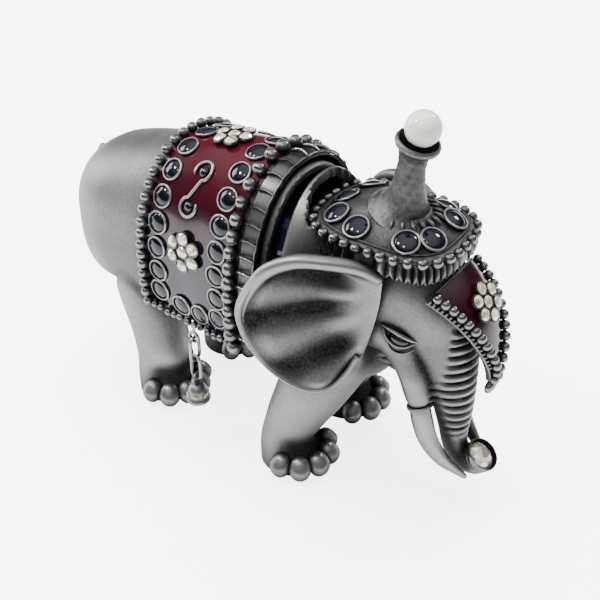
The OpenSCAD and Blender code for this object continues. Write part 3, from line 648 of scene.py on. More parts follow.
def rear_body():
    xs = [-BARREL_L - RUMP_R * sin(radians(t)) for t in np.linspace(89.5, 3, 30)]
    xs += list(np.linspace(-BARREL_L, -0.1, 60))
    shell = hollow_barrel("rear_casting", xs, list(np.linspace(-0.1, -31.9, 50)), -WALL)
    parts = [shell]
    for s in (-1, 1):
        parts.append(rod("hind_leg", [(-31, 5.1 * s, 25), (-29, 6.5 * s, 18.5), (-27.0, 7.6 * s, 12),
            (-25.6, 8.1 * s, 7.4), (-25.2, 8.1 * s, 3.4), (-25.0, 8.1 * s, -1.5)],
            [6.3, 5.9, 4.8, 4.7, 5.1, 5.2], 40, 50))
    body = join("rear_casting", parts)
    finish_with(body, "REMESH", mode="VOXEL", voxel_size=BODY_VOXEL)
    cut(body, (0, 0, 0), (0, 0, -1))
    finish_with(body, "SMOOTH", factor=0.5, iterations=10)
    fair_barrel(body, -60, -0.6)
    c = coords(body)
    instep(c, normals(body), HIND_X)
    c[:, 0] = np.where(c[:, 0] > -0.45, np.maximum(c[:, 0], -0.1), c[:, 0])
    c[:, 2] = np.where(c[:, 2] < FLOOR_BAND, 0, c[:, 2])
    set_coords(body, c)
    scoop(body, -31.9, 1.0)
    dress(body, PEWTER, REAR, relief=BODY_RELIEF)


def front_body():
    xs = list(np.linspace(0.1, NECK_L + 0.6, 24))
    shell = hollow_barrel("front_casting", xs[::-1], list(np.linspace(0.1, 10.4, 24)), -WALL)
    parts = [shell]
    for s in (-1, 1):
        parts.append(rod("fore_leg", [(6.6, 4.9 * s, 22), (4.4, 6.8 * s, 16), (2.2, 8.0 * s, 10.4),
            (1.4, 8.1 * s, 7.4), (1.0, 8.1 * s, 3.4), (1.2, 8.1 * s, -1.5)],
            [6.3, 5.6, 4.75, 4.7, 5.15, 5.25], 40, 50))
    parts.append(rod("chest", [(8.4, 0, 22), (8, 0, 28)], [6.1, 6.3], 40, 14))
    body = join("front_casting", parts)
    finish_with(body, "REMESH", mode="VOXEL", voxel_size=BODY_VOXEL)
    cut(body, (0, 0, 0), (0, 0, -1))
    finish_with(body, "SMOOTH", factor=0.5, iterations=10)
    fair_barrel(body, 0.5, 11.5)
    c = coords(body)
    instep(c, normals(body), FORE_X)
    # the neck ducks under the headdress
    k = ((np.abs(c[:, 0] - CAP_X) / (CAP_L + 1.3)) ** 3 + (np.abs(c[:, 1]) / (CAP_W + 1.3)) ** 3) ** (1 / 3)
    c[:, 2] = np.where((k < 1) & (c[:, 2] > CAP_BASE - 0.2), CAP_BASE - 0.2, c[:, 2])
    # the casting stays in front of the parting face and above the floor
    low = (c[:, 2] > 17) & (c[:, 0] < 0.1)
    c[:, 0] = np.where(low, 0.1, c[:, 0])
    c[:, 2] = np.where(c[:, 2] < FLOOR_BAND, 0, c[:, 2])
    set_coords(body, c)
    scoop(body, -1.0, 10.4)
    dress(body, PEWTER, FRONT, relief=BODY_RELIEF)


HEAD_PATH = np.array([[11, 0, 35], [16, 0, 35.6], [19.6, 0, 33.4], [21.4, 0, 28.8], [22.9, 0, 24],
    [24.2, 0, 18.6], [24.9, 0, 13.4], [25.6, 0, 9.4], [27.2, 0, 7.2], [29.2, 0, 7.6]], float)
HEAD_R = [7.9, 7.6, 7.0, 5.7, 4.5, 3.3, 2.4, 2.0, 2.0, 2.2]


def head():
    parts = [rod("head_casting", HEAD_PATH, HEAD_R, 48, 90)]
    for s in (-1, 1):
        parts.append(rod("cheek", [(12, 2.8 * s, 30.5), (16.6, 3.2 * s, 28.6), (19.4, 3.9 * s, 24),
            (20.9, 4.3 * s, 19.6)], [5.0, 4.0, 2.7, 2.0], 36, 40))
    parts.append(rod("jaw", [(14, 0, 24.5), (19.6, 0, 20.5)], [4.2, 2.4], 32, 16))
    h = join("head_casting", parts)
    finish_with(h, "REMESH", mode="VOXEL", voxel_size=HEAD_VOXEL)
    cut(h, (11.4, 0, 0), (-1, 0, 0))
    cut(h, (0, 0, CAP_BASE - 0.1), (0, 0, 1))
    finish_with(h, "SMOOTH", factor=0.5, iterations=9)
    c, n = coords(h), normals(h)
    # rings of the trunk, sharp-topped and stronger in front
    path = spline(np.column_stack([HEAD_PATH, HEAD_R]), 400)
    run = lengths(path[:, :3])
    tan = np.gradient(path[:, :3], axis=0)
    tan /= np.linalg.norm(tan, axis=1, keepdims=True)
    near = np.empty(len(c), int)
    for i in range(0, len(c), 4000):
        near[i : i + 4000] = np.argmin(((c[i : i + 4000, None, :] - path[None, ::4, :3]) ** 2).sum(-1),
            1) * 4
    s = run[near] + ((c - path[near, :3]) * tan[near]).sum(1)
    first, last = 10.2, 29.0
    amount = ease((s - first) / 2.0) * (1 - ease((s - last) / 4.0))
    front = ease((n[:, 0] + 0.35) / 0.8) * (1 - ease((np.abs(c[:, 1]) - 3.6) / 1.0))
    wave = np.abs(np.sin(pi * (s + 0.12 * c[:, 1] ** 2 / 3) / 1.5))
    c += n * (amount * front * (0.3 - 0.85 * (1 - wave) ** 1.6))[:, None]
    # a soft hollow below the eye and at the temple, and the ridge over the sleeve of the tusk
    for at, r, d in (((19.4, 6.0, 25.6), 2.6, 0.55), ((18.6, 6.6, 34.5), 3.0, 0.25),
            ((17.5, 6.8, 30.4), 1.5, 0.35)):
        q = np.stack([c[:, 0], np.abs(c[:, 1]), c[:, 2]], 1) - np.array(at)
        c -= n * (d * np.exp(-((q**2).sum(1)) / (r * r)))[:, None]
    set_coords(h, c)
    extras = [h]
    for side in (-1, 1):
        extras += eye_lids(side)
        extras.append(torus("sleeve", 1.75, 0.34, 32, 10))
        extras[-1].data.transform(move(21.3, 4.3 * side, 18.1) @ about(-18, "Y"))
    h = join("head_casting", extras)
    dress(h, FACE_PEWTER, FRONT, 70, (50, 0.4))


def eye_lids(s):
    """A heavy brow and a thin lower lid, laid over the eye on side s."""
    y = 6.75
    brow = rod("brow", [(15.4, (y + 0.1) * s, 32.1), (17, (y + 0.3) * s, 32.0),
        (18.6, (y + 0.22) * s, 31.6), (20.2, (y - 0.3) * s, 31.0), (21.2, (y - 0.8) * s, 30.7)],
        [0.12, 0.26, 0.32, 0.3, 0.12], 12, 24)
    lid = rod("lid", [(15.9, (y + 0.2) * s, 31.5), (16.5, (y + 0.3) * s, 30.3),
        (17.8, (y + 0.22) * s, 29.4), (19.3, (y - 0.1) * s, 29.5), (20.6, (y - 0.5) * s, 30.4)],
        [0.1, 0.2, 0.24, 0.22, 0.1], 12, 24)
    crease = rod("crease", [(16.0, (y + 0.1) * s, 31.0), (17.2, (y + 0.2) * s, 28.6),
        (19.0, (y - 0.1) * s, 28.2), (20.6, (y - 0.6) * s, 29.3)], [0.08, 0.16, 0.18, 0.08], 10, 20)
    return [brow, lid, crease]


def eyes():
    for s, name in ((-1, "right_eye"), (1, "left_eye")):
        e = ball(name, (18.2, 6.45 * s, 30.35), (1.6, 0.8, 0.82), 28, 16)
        dress(e, CABOCHON, FRONT)


def ears():
    edge = np.array([[15.6, 9.0, 41.0], [13.2, 10.6, 42.7], [9.6, 12.6, 43.3], [5.4, 14.2, 42.8],
        [1.8, 15.6, 40.6], [-1.0, 16.5, 37.0], [-2.5, 16.8, 33.4], [-2.4, 16.8, 30.6], [-1.0, 16.5, 27.4],
        [1.6, 15.8, 24.2], [4.8, 15.0, 22.0], [8.0, 13.8, 21.0], [10.6, 12.5, 21.8], [12.4, 11.2, 24.4],
        [13.3, 10.0, 27.0]])
    edge[:, 0] += 0.6 * ease((2 - edge[:, 0]) / 4)
    root = np.array([[16.0, 8.2, 40.4], [15.6, 8.0, 36.5], [14.8, 8.0, 32.5], [13.9, 8.4, 28.6],
        [13.4, 8.8, 27.0]])
    for s, name in ((-1, "right_ear"), (1, "left_ear")):

        def shape(u, v, s=s):
            e = spline(edge, 400)[np.rint(u * 399).astype(int)]
            r = spline(root, 400)[np.rint(np.clip(u, 0, 1) ** 2.4 * 399).astype(int)]
            p = mix(r, e, v[:, None])
            out = np.sin(pi * np.clip(v, 0, 1)) ** 0.9
            dish = -2.5 * out * (0.3 + 0.7 * np.sin(pi * np.clip(u, 0, 1) ** 0.8)) * ease(v / 0.55)
            # five folds that open towards the edge
            f = np.sin(2 * pi * (5.0 * u + 0.35
                * v)) * ease((v - 0.1) / 0.35) * (1 - ease((v - 0.84) / 0.14)) * ease((u - 0.16) / 0.15)
            fold = 0.7 * (np.abs(f) ** 0.8 * np.sign(f))
            roll = 0.55 * ease((v - 0.9) / 0.1) * (1 - ease((u - 0.35) / 0.4))
            p[:, 1] = s * (p[:, 1] + dish + fold * 0.8 + roll)
            return p

        ear = sheet(name, 110, 44, shape)
        thicken(ear, 0.6, 0.0)
        tip = spline(edge, 200)
        rim_r = np.interp(np.linspace(0, 1, 200), [0, 0.1, 0.3, 0.5, 0.65, 1],
            [0.9, 1.3, 1.35, 0.95, 0.6, 0.5])
        k = np.linspace(0, 199, 40).astype(int)
        rim = rod("rim", np.column_stack([tip[k, 0], s * (tip[k, 1] - 0.25), tip[k, 2]]), rim_r[k] * 0.78,
            16, 120)
        c = coords(rim)
        c[:, 1] = np.where(np.abs(c[:, 1]) > 16.95, np.sign(c[:, 1]) * 16.95, c[:, 1])
        set_coords(rim, c)
        ear = join(name, [ear, rim])
        tidy(ear)
        dress(ear, EAR_PEWTER, FRONT, 60, (150, 1.1))


def tusks():
    for s, name in ((-1, "right_tusk"), (1, "left_tusk")):
        t = rod(name, [(21.1, 4.2 * s, 18.4), (21.9, 4.5 * s, 15.6), (23.3, 4.7 * s, 12.4),
            (25.6, 4.3 * s, 9.4), (29.0, 3.1 * s, 6.7)], [1.6, 1.75, 1.6, 1.25, 0.5], 28, 50, flat=0.8)
        dress(t, TUSK, FRONT)


def trunk_end():
    m = move(30, 0, 9) @ about(35, "Y")
    cup = revolve("trunk_cup", [(0, -1.05), (1.9, -1.05), (2.45, -0.8), (2.62, -0.2), (2.65, 0.4),
        (2.58, 0.66), (2.42, 0.66), (2.33, 0.45), (2.33, -0.5), (0, -0.5)], 48)
    cup.data.transform(m)
    dress(cup, BEAD_PEWTER, FRONT, 50)
    stone = brilliant("trunk_crystal", 2.28)
    stone.data.transform(m @ move(0, 0, -0.1))
    dress(stone, CRYSTAL, FRONT, 0)


def brilliant(name, r):
    """A round stone with a table, eight star facets, eight kites and sixteen girdle facets."""
    rows = [(0.0, 0.34, 8, 0.0), (0.55, 0.34, 8, 0.0), (0.8, 0.2, 8, 22.5), (1.0, 0.0, 16, 0.0),
        (0.96, -0.12, 16, 0.0)]

    def shape(u, v):
        i = pick(v, rows)
        k = np.rint(u * 16)
        out = np.empty((len(u), 3))
        for j, (rad, z, cuts, turn) in enumerate(rows):
            w = i == j
            t = k[w] * 22.5 if cuts == 16 else np.round((k[w] * 22.5 - turn) / 45 + 1e-6) * 45 + turn
            out[w] = np.stack([r * rad * np.cos(np.radians(t)), r * rad * np.sin(np.radians(t)),
                np.full(w.sum(), z * r)], -1)
        return out

    return sheet(name, 16, len(rows) - 1, shape)


# ------------ saddle cloth
def layer(name, x0, x1, a0, a1, e, thick, nx, na, ripple=None):
    """A skin of metal or enamel that lies e proud of the barrel."""

    def shape(u, v):
        x, a = mix(x0, x1, v), mix(a0, a1, u)
        return proud(x, a, e + (ripple(x, a) if ripple else 0 * x))

    return thicken(sheet(name, na, nx, shape), thick)


def saddle_cloth():
    cloth = layer("saddle_cloth", CLOTH_X0, CLOTH_X1, -120, 120, 0.76, 0.7, 30, 160)
    # the enamel pools between the trims
    dress(cloth, DARK, REAR, 40)
    field = layer("cloth_enamel", CLOTH_X0 + 1.4, FRONT_ROW_X + 0.3, -113, 113, 0.96, 0.15, 50, 200,
        lambda x, a: 0.05 * np.sin(a / 9.0) * np.sin(x * 0.9))
    dress(field, CLOTH_ENAMEL, REAR)


def bead(r, high=None):
    return ball("bead", (0, 0, 0), (r, r, high or r), 16, 10)


def jitter(r):
    a, b, c = rng.uniform(-1, 1, 3)
    return move(a * r, b * r, 0) @ Matrix.Diagonal((1 + 0.1 * b, 1 + 0.1 * c, 1, 1))


def cloth_beads():
    r = 0.87
    places = [on_skin(FRONT_ROW_X, a, TRIM_E + r * 0.85) @ jitter(0.05)
        for a in even_angles(FRONT_ROW_X, TRIM_E, 116, r * 2.8)]
    row = repeat("cloth_front_beads", bead(r * 1.22), places)
    dress(row, BEAD_PEWTER, REAR)
    r = 0.7
    places = [on_skin(CLOTH_X0 + r, a, TRIM_E + r * 0.8) @ jitter(0.05)
        for a in even_angles(CLOTH_X0 + r, TRIM_E, 114, r * 2.7)]
    row = repeat("cloth_rear_beads", bead(r * 1.2), places)
    dress(row, BEAD_PEWTER, REAR)
    n = 13
    places = []
    for s in (-1, 1):
        for i in range(1, n):
            x = mix(CLOTH_X0 + r, FRONT_ROW_X, i / n)
            places.append(on_skin(x, s * (116 + 1.5 * cos(2 * pi * i / 3.25)),
                TRIM_E + r * 0.7) @ jitter(0.05))
    row = repeat("cloth_hem_beads", bead(r * 0.92), places)
    dress(row, BEAD_PEWTER, REAR)


def cabochon_places():
    places = []
    for x in (FRONT_ROW_X - 0.87 - 1.4 - 0.75, CLOTH_X0 + 1.4 + 1.4 + 0.9):
        places += [on_skin(x, a, TRIM_E) for a in even_angles(x, TRIM_E, 98, 4.1)]
    places += [on_skin(-24 * k, s * 102, TRIM_E) for s in (-1, 1) for k in (0.66, 0.5)]
    return places


SCROLL_ENDS = ((0.2, 32.0), (-0.3, 54.0))


def cloth_stones():
    places = cabochon_places()
    ends = [on_skin(CLOTH_MID + x, s * a, TRIM_E) for s in (-1, 1) for x, a in SCROLL_ENDS]
    big = repeat("cloth_cabochons", dome("dome", 1.6, 0.7, 0.1, 9, 28), places)
    little = repeat("small", dome("small_dome", 0.85, 0.55, 0.0, 7, 20), ends)
    dress(join("cloth_cabochons", [big, little]), CABOCHON, REAR)
    seats = []
    for m in places:
        a = rng.uniform(-1, 1, 2)
        seats.append(m @ move(0, 0, 0.18) @ Matrix.Diagonal((1 + 0.05 * a[0], 1 + 0.05 * a[1], 1.1, 1)))
    dress(repeat("cloth_bezels", torus("bezel", 1.68, 0.2, 32, 8), seats), BRIGHT, REAR)
    # raised scrolls: a hooked curl about each small stone and a bar between them
    ang = np.linspace(0, 120, 241)
    run = lengths(skin(CLOTH_MID, ang))
    pts = []
    for (x, a), sweep in zip(SCROLL_ENDS, ((205, -75), (105, 385))):
        q = np.interp(a, ang, run)
        for t in map(radians, np.linspace(*sweep, 22)):
            pts.append((x + 1.5 * cos(t), q - 1.45 * sin(t)))
    wires = []
    for s in (-1, 1):
        p = [proud(CLOTH_MID + x, s * float(np.interp(q, run, ang)), TRIM_E + 0.2) for x, q in pts]
        wires.append(rod("scroll", p, [0.12] + [0.25] * (len(p) - 2) + [0.12], 10, 110))
    dress(join("cloth_scrolls", wires), BRIGHT, REAR)


def flower_places(pitch):
    return [Matrix()] + [about(60 * i, "Z") @ move(pitch, 0, 0) for i in range(6)]


def cup(name, r):
    return revolve(name, [(0, 0), (r + 0.14, 0), (r + 0.2, 0.2), (r + 0.16, 0.42), (r + 0.02, 0.44),
        (r - 0.02, 0.3), (0, 0.3)], 24)


def flowers(places, cups, stones, body, pitch, r, tilt=0.16):
    spots = []
    for m in places:
        for k in flower_places(pitch):
            q = k.translation
            lean = Matrix.Rotation(tilt * (1 if q.length > 0.1 else 0), 4,
                Vector((-q.y, q.x, 0)).normalized() if q.length > 0.1 else "Z")
            spots.append(m @ Matrix.Translation(q) @ lean)
    dress(repeat(cups, cup("cup", r), spots), BEAD_PEWTER, body, 40)
    stone = brilliant("stone", r)
    seats = [m @ move(0, 0, 0.36) @ Matrix.Rotation(rng.uniform(0, 1), 4, "Z") for m in spots]
    dress(repeat(stones, stone, seats), STONE, body, 0)


def cloth_flowers():
    back = (2.02 + 0.85) ** 2 / (2 * HALF_W) + 0.03
    flowers([on_skin(CLOTH_MID, a, TRIM_E + back - 0.1) for a in (-78, 0, 78)], "cloth_flower_cups",
        "cloth_flower_stones", REAR, 2.25, 0.98)


def collar_frill():
    """A thin band with upright walls, open cells between them."""
    band = layer("collar_frill", -3.7, -0.75, -105, 60, 1.2, 0.3, 8, 140)
    parts = [band]
    xr = np.linspace(-3.65, -0.85, 7)
    for a in even_angles(-1.7, 0, 102, 2.3):
        if a < 57:
            wave = 0.9 * np.sin(np.linspace(0, pi, 7))
            p = [proud(x, a + w, 1.55 + 0.25 * sin(pi * i / 6)) for i, (x, w) in enumerate(zip(xr, wave))]
            parts.append(rod("wall", p, [0.14, 0.17, 0.17, 0.17, 0.17, 0.17, 0.15], 8, 14, flat=2.0,
                up=skin_normal(-1.7, a)))
    # the lip that joins the walls in scallops along the mouth
    aa = np.linspace(-104, 59, 260)
    p = [proud(-0.95 + 0.05 * cos(i * 0.45), float(a), 1.42) for i, a in enumerate(aa)]
    parts.append(rod("lip", p, [0.2] * len(p), 8, 420))
    frill = join("collar_frill", parts)
    dress(frill, BEAD_PEWTER, REAR, 50)


def linings():
    def shell(name, x_open, x_back, body, top=None):
        rows = np.array([(x, 1.0) for x in np.linspace(x_open, x_back, 30)] + [(x_back, 0.66),
            (x_back, 0.33), (x_back, 0.0)])

        def shape(u, v):
            i = pick(v, rows)
            p = skin(rows[i, 0], 360 * u - 180, -WALL - 0.05, rows[i, 1])
            if top:
                p[:, 2] = np.minimum(p[:, 2], top)
            return p

        obj = sheet(name, 96, len(rows) - 1, shape)
        # the faces of this shell point outwards, so the wall goes inwards
        thicken(obj, 0.25)
        dress(obj, LINING, body, 40)

    shell("rear_lining", -0.6, -31.6, REAR)
    shell("front_lining", 0.6, 10.0, FRONT, 40.5)


# ------------ headdress
def headdress():
    steps = [(1.0, 0.0), (1.03, 0.2), (1.03, 0.75), (0.97, 0.95), (0.9, 1.05), (0.8, 1.55), (0.68, 2.2),
        (0.56, 2.75), (0.46, 3.15), (0.38, 3.45), (0.3, 3.48), (0.0, 3.48)]

    def shape(u, v):
        i = pick(v, steps)
        st = np.array(steps)
        return cap_pt(360 * u, st[i, 0], CAP_BASE + st[i, 1])

    cap = sheet("headdress_cap", 120, len(steps) - 1, shape)
    finish_with(cap, "SUBSURF", levels=1, render_levels=1)
    # worked lines: an inner ridge that follows the rim, and a few chased leaves
    ring = cap_pt(np.linspace(0, 360, 120), 0.93, CAP_BASE + 1.08)
    parts = [cap, rod("ridge", ring, [0.16] * len(ring), 8, 240, blunt=False)]
    for i in range(22):
        t = 2 * pi * i / 22
        d = np.array([cos(t), sin(t), 0])
        pts = []
        for r, z in ((4.5, 3.35), (5.3, 3.05), (6.1, 2.55)):
            pts.append(np.array([CAP_X + 1.1, 0, CAP_BASE + z]) + d * r * np.array([1.0, 0.8, 0]))
        parts.append(rod("petal", pts, [0.2, 0.34, 0.14], 8, 12))
    dress(join("headdress_cap", parts), DARK, FRONT, 50)

    n = 34
    run_a = np.linspace(0, 360, 721)
    run = lengths(cap_pt(run_a))
    angles = np.interp(np.arange(n) * run[-1] / n, run, run_a)
    places = []
    for a in angles:
        p = cap_pt(np.asarray(a), 1.0, CAP_BASE + 0.55) + cap_out(a) * 0.62
        places.append(Matrix.Translation(Vector(p)) @ facing(cap_out(a) * 0.9 + np.array([0, 0, 0.43]))
            @ jitter(0.05))
    beads = repeat("headdress_beads", bead(0.74, 0.7), places)
    dress(beads, BEAD_PEWTER, FRONT)

    # pleated fringe: deep at the corners, in and out like a skirt
    pleats = 48

    def skirt(u, v):
        a = 360 * u
        pleat = np.abs(((u * pleats) % 1) * 2 - 1)
        drop = 2.1 - 0.25 * np.cos(np.radians(4 * a)) + 0.65 * (1 - pleat)
        out = np.stack([np.cos(np.radians(a)), np.sin(np.radians(a)), 0 * a], -1)
        fold = (0.25 + 0.45 * v) + (pleat - 0.5) * 0.8 * np.sin(pi * np.clip(v, 0, 1)) ** 0.5
        return cap_pt(a, 1.0, CAP_BASE + 0.1 - drop * v) + out * fold[:, None]

    fringe = sheet("headdress_fringe", 384, 10, skirt)
    thicken(fringe, 0.3)
    dress(fringe, BEAD_PEWTER, FRONT, 35)

    spots = []
    for a in range(20, 341, 40):
        n_ = cap_out(float(a))
        p = cap_pt(np.asarray(float(a)), 0.76, CAP_BASE + 1.9)
        tilt = np.array([n_[0] * 0.5, n_[1] * 0.5, 1.0])
        spots.append(Matrix.Translation(Vector(p)) @ facing(tilt / np.linalg.norm(tilt)))
    domes = repeat("headdress_cabochons", dome("dome", 1.68, 0.72, 0.0, 9, 28), spots)
    dress(domes, CABOCHON, FRONT)
    rings = repeat("headdress_bezels", torus("bezel", 1.78, 0.22, 32, 8),
        [m @ move(0, 0, 0.2) for m in spots])
    dress(rings, BRIGHT, FRONT)


def column():
    lean = move(CAP_X, 0, CAP_BASE + 3.5) @ about(15, "Y")
    o = spline([(5.0, -0.6), (4.3, 0.1), (3.4, 1.0), (2.75, 2.2), (2.3, 4.0), (2.02, 6.0), (2.0, 8.0),
        (2.25, 9.1), (2.8, 9.8)], 46)
    top = [(3.05, 10.05), (3.18, 10.3), (3.16, 10.6), (3.02, 10.85), (2.8, 10.95), (2.6, 10.8),
        (2.1, 10.35), (1.2, 10.05), (0, 10.0)]
    body = revolve("finial_column", list(map(tuple, o)) + top, 64)
    c, n = coords(body), normals(body)
    # hammered, bark-like skin below the cup
    q = np.sin(c[:, 2] * 4.1 + 2 * np.sin(3 * np.arctan2(c[:, 1], c[:, 0]))) * np.sin(5 * np.arctan2(c[:,
        1], c[:, 0]) + c[:, 2] * 1.7)
    c += n * (0.09 * q * (c[:, 2] < 9.3))[:, None]
    c[:, 0] += 1.3 * (1 - ease(c[:, 2] / 9.5))
    set_coords(body, c)
    body.data.transform(lean)
    dress(body, DARK, FRONT)
    p = ball("pearl", (0, 0, 10 + 2.5 + 0.35), (2.5, 2.5, 2.5), 64, 40)
    p.data.transform(lean)
    dress(p, PEARL, FRONT)


# ------------ forehead
def forehead():
    top_a, low_a, top_w = 55.0, -13.0, 7.6

    def half(a):
        """Half width of the panel, measured round the brow, at angle a."""
        z = BROW[1] + BROW[2] * np.sin(np.radians(a))
        z1, z0 = (BROW[1] + BROW[2] * sin(radians(t)) for t in (top_a, low_a))
        return mix(0.5, top_w, ((z - z0) / (z1 - z0)) ** 0.9)

    def spot(a, w, r):
        t, g = np.radians(a), w / BROW_R
        out = BROW[2] + 0.93 - BROW_R + (BROW_R + r) * np.cos(g)
        return np.stack([BROW[0] + out * np.cos(t), (BROW_R + r) * np.sin(g), BROW[1] + out * np.sin(t)],
            -1)

    def plate(name, a1, a0, inset, r, thick, nu=32, nv=60):
        def shape(u, v):
            a = mix(a1, a0, v)
            return spot(a, (2 * u - 1) * np.maximum(half(np.clip(a, low_a, top_a)) - inset, 0.12), r)

        return thicken(sheet(name, nu, nv, shape), thick)

    parts = [plate("forehead_panel", top_a, low_a, 0.0, -0.25, 0.62)]
    # a thin raised edge each side, and short pleats between it and the bead row
    for s in (-1, 1):
        aa = np.linspace(top_a - 1, low_a + 1, 40)
        parts.append(rod("edge", spot(aa, s * (half(aa) - 0.05), -0.1), [0.2] * 40, 8, 80))
        for a in np.linspace(top_a - 2, low_a + 14, 20):
            h = float(half(a))
            p = spot(np.array([a, a, a]), s * np.array([h - 0.1, h - 0.45, h - 0.85]),
                np.array([0.0, 0.12, 0.05]))
            parts.append(rod("pleat", p, [0.16, 0.22, 0.12], 8, 8))
    dress(join("forehead_panel", parts), BEAD_PEWTER, FRONT, 50)
    dress(plate("forehead_enamel", top_a - 1.0, low_a + 7, 1.5, 0.0, 0.16), BROW_ENAMEL, FRONT, 50)
    places = []
    n = 13
    for s in (-1, 1):
        for i in range(n):
            a = mix(top_a - 3, low_a + 3.5, i / (n - 1))
            places.append(on_brow(a, s * max(float(half(a)) - 1.35, 0.6), 0.4) @ jitter(0.04))
    dress(repeat("forehead_beads", bead(0.74, 0.7), places), BEAD_PEWTER, FRONT)
    flowers([on_brow(35, -0.2, 0.3)], "forehead_cups", "forehead_stones", FRONT, 2.05, 0.9, 0.12)
    drop = ball("forehead_drop", (0, 0, 0), (1.35, 1.3, 0.72), 28, 16)
    c = coords(drop)
    c[:, 1] *= 1 - 0.45 * ease((-c[:, 0] - 0.1) / 1.2)
    set_coords(drop, c)
    drop.data.transform(on_brow(low_a - 3.2, 0, 0.1))
    dress(drop, BEAD_PEWTER, FRONT)


# ------------ feet, tail, chain and hinge
def toes():
    for body, name, x0 in ((REAR, "hind_toes", HIND_X), (FRONT, "fore_toes", FORE_X)):
        places = []
        for s in (-1, 1):
            for i in range(-2, 3):
                m = move(x0, s * LEG_Y, 0) @ about(s * SPLAY + i * 37, "Z")
                places.append(m @ move(4.05 + 1.15, 0, 2.0) @ Matrix.Diagonal((1, 1 + 0.05 * cos(i), 1, 1)))
        toe = ball("toe", (0, 0, 0), (1.6, 1.72, 2.1), 28, 18)
        c = coords(toe)
        c[:, 2] = np.maximum(c[:, 2], -1.96)
        c[:, 0] -= 0.45 * ease(c[:, 2] / 1.6)
        set_coords(toe, c)
        dress(repeat(name, toe, places), FACE_PEWTER, body)


def tail():
    x = -BARREL_L - RUMP_R - 0.75
    t = rod("tail", [(x + 1.9, 0, 36), (x + 0.5, 0, 33), (x + 0.05, 0, 29.5), (x + 0.7, 0.3, 25),
        (x + 2.2, 0.9, 20), (x + 3.3, 1.3, 17), (x + 3.6, 1.5, 15), (x + 3.75, 1.6, 12.4)],
        [0.85, 0.75, 0.68, 0.6, 0.55, 0.62, 0.98, 0.32], 20, 70)
    c = coords(t)
    # the tuft is combed into strands
    w = 1 - ease((c[:, 2] - 16.5) / 1.5)
    a = np.arctan2(c[:, 1] - 1.5, c[:, 0] - (x + 3.6))
    c[:, :2] += (np.stack([np.cos(a), np.sin(a)], 1) * (0.1 * np.sin(7 * a) * w)[:, None])
    set_coords(t, c)
    dress(t, PEWTER, REAR)


def chain():
    x, y = -12.0, -14.0
    eye = torus("charm_eye", 0.85, 0.29, 32, 12)
    eye.data.transform(move(x, y, 20.4) @ about(90, "X"))
    stem = rod("stem", [(x, y, 21.2), (x, y + 0.1, 21.9), (x, y + 0.2, 22.4)], [0.27, 0.27, 0.3], 12, 10)
    dress(join("charm_eye", [eye, stem]), BRIGHT, REAR)
    for name, body, top, quarter in (("upper_link", "chain_upper", 20.25, 90),
            ("lower_link", "chain_lower", 16.55, 0)):
        t = torus(name, 0.95, 0.29, 40, 12)
        c = coords(t)
        c[:, 1] += np.sign(c[:, 1]) * 1.25 * (np.abs(c[:, 1]) > 1e-6)
        set_coords(t, c)
        t.data.transform(move(x, y, top - 2.2) @ about(quarter, "Z") @ about(90, "X"))
        dress(t, BRIGHT, body)
    top = 12.85
    ring = torus("bell_charm", 0.85, 0.28, 32, 12)
    ring.data.transform(move(x, y, top - 0.85) @ about(90, "Y"))
    foot = top - 2 * 0.85 - 0.15 - 3.4
    bell = revolve("bell", [(0, 0.15), (1.7, 0.0), (1.95, 0.1), (2.05, 0.45), (1.9, 0.75), (1.7, 0.95),
        (1.68, 1.3), (1.62, 2.0), (1.35, 2.6), (0.9, 3.1), (0.5, 3.3), (0, 3.38)], 36)
    bell.data.transform(move(x, y, foot))
    dress(join("bell_charm", [ring, bell]), FACE_PEWTER, "charm", 50)
    stone = brilliant("stone", 0.46)
    dress(repeat("bell_stones", stone, [move(x, y, foot + 1.5) @ about(a, "Z") @ move(1.72, 0,
        0) @ about(90, "Y") for a in range(0, 360, 60)]), STONE, "charm", 0)


def bare_nodes():
    """CAD nodes whose shape is already right."""
    for name, finish in (("rear_hinge_leaf", HIDDEN), ("front_hinge_leaf", HIDDEN), ("hinge_pin", STEEL),
            ("rear_magnet", MAGNET), ("front_magnet", MAGNET), ("locating_tongue", LINING),
            ("pearl_peg", STEEL)):
        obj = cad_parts[name]
        obj.data.materials.clear()
        obj.data.materials.append(finish)


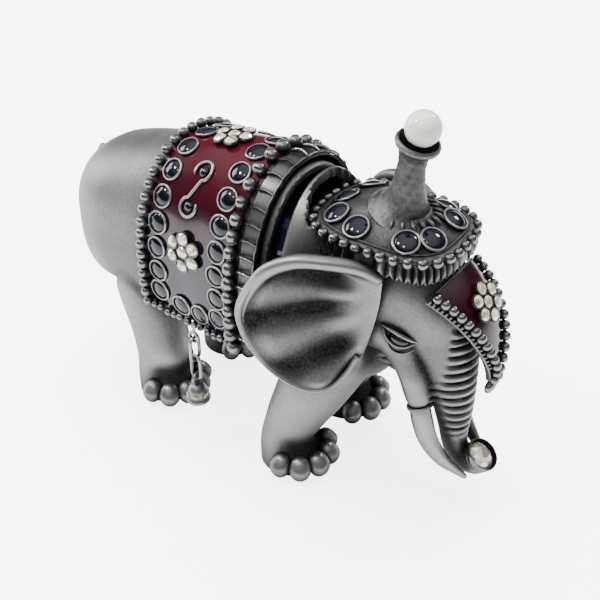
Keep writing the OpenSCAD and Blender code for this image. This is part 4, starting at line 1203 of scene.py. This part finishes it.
def stage():
    deselect()
    bpy.ops.mesh.primitive_plane_add(size=4.0, location=(0, 0, -0.0002))
    floor = named("floor")
    m, nt, p = material("Pale paper floor")
    wire(nt, ramp(nt, noise(nt, 8.0), [(0.0, (0.86, 0.865, 0.88)), (1.0, (0.9, 0.905, 0.915))]),
        p.inputs["Base Color"])
    put(p, {"Roughness": 0.7, "Specular IOR Level": 0.2, "Emission Color": (0.97, 0.98, 1.0, 1)})
    # the paper looks brighter from the camera than it does mirrored in the metal
    seen = nt.nodes.new("ShaderNodeLightPath").outputs["Is Camera Ray"]
    wire(nt, calc(nt, "MULTIPLY", seen, 4.2), p.inputs["Emission Strength"])
    floor.data.materials.append(m)
    world = bpy.data.worlds.new("Studio")
    bpy.context.scene.world = world
    world.use_nodes = True
    nt = world.node_tree
    bg = nt.nodes["Background"]
    tc = nt.nodes.new("ShaderNodeTexCoord")
    sep = nt.nodes.new("ShaderNodeSeparateXYZ")
    wire(nt, tc.outputs["Generated"], sep.inputs["Vector"])
    sky = [(0.0, (0.3, 0.3, 0.31)), (0.1, (0.05, 0.05, 0.052)), (0.45, (0.08, 0.08, 0.083)),
        (0.72, (0.6, 0.6, 0.61)), (1.0, 1.0)]
    wire(nt, ramp(nt, sep.outputs["Z"], sky), bg.inputs["Color"])
    bg.inputs["Strength"].default_value = 1.5
    for name, at, size, power in (("Overhead", (-0.12, 0.1, 0.6), 0.5, 10.0),
            ("Window", (-0.3, -0.25, 0.5), 0.08, 2.2), ("Second window", (0.05, -0.35, 0.6), 0.05, 0.9),
            ("Back window", (0.1, 0.5, 0.4), 0.12, 1.4), ("Left bank", (-0.55, -0.1, 0.22), 0.3, 2.4)):
        bpy.ops.object.light_add(type="AREA", location=at)
        lamp = bpy.context.active_object
        lamp.name = name
        lamp.data.energy = power
        lamp.data.size = size
        lamp.visible_glossy = name != "Overhead"
        aim = Vector((0, 0, 0.03)) - Vector(at)
        lamp.rotation_euler = aim.to_track_quat("-Z", "Y").to_euler()


def camera():
    az, el, dist = radians(39.5), radians(36.5), 0.1725
    look = Vector((0.0051, 0.0002, 0.0241))
    out = Vector((sin(az) * cos(el), -cos(az) * cos(el), sin(el)))
    cam = bpy.data.objects.new("Camera", bpy.data.cameras.new("Camera"))
    bpy.context.collection.objects.link(cam)
    cam.location = look + out * dist
    cam.rotation_euler = (-out).to_track_quat("-Z", "Y").to_euler()
    cam.data.sensor_width = 36
    cam.data.lens = 66
    cam.data.clip_start = 0.005
    bpy.context.scene.camera = cam


camera()
stage()
rear_body()
front_body()
head()
eyes()
ears()
tusks()
trunk_end()
saddle_cloth()
cloth_beads()
cloth_stones()
cloth_flowers()
collar_frill()
linings()
headdress()
column()
forehead()
toes()
tail()
chain()
bare_nodes()
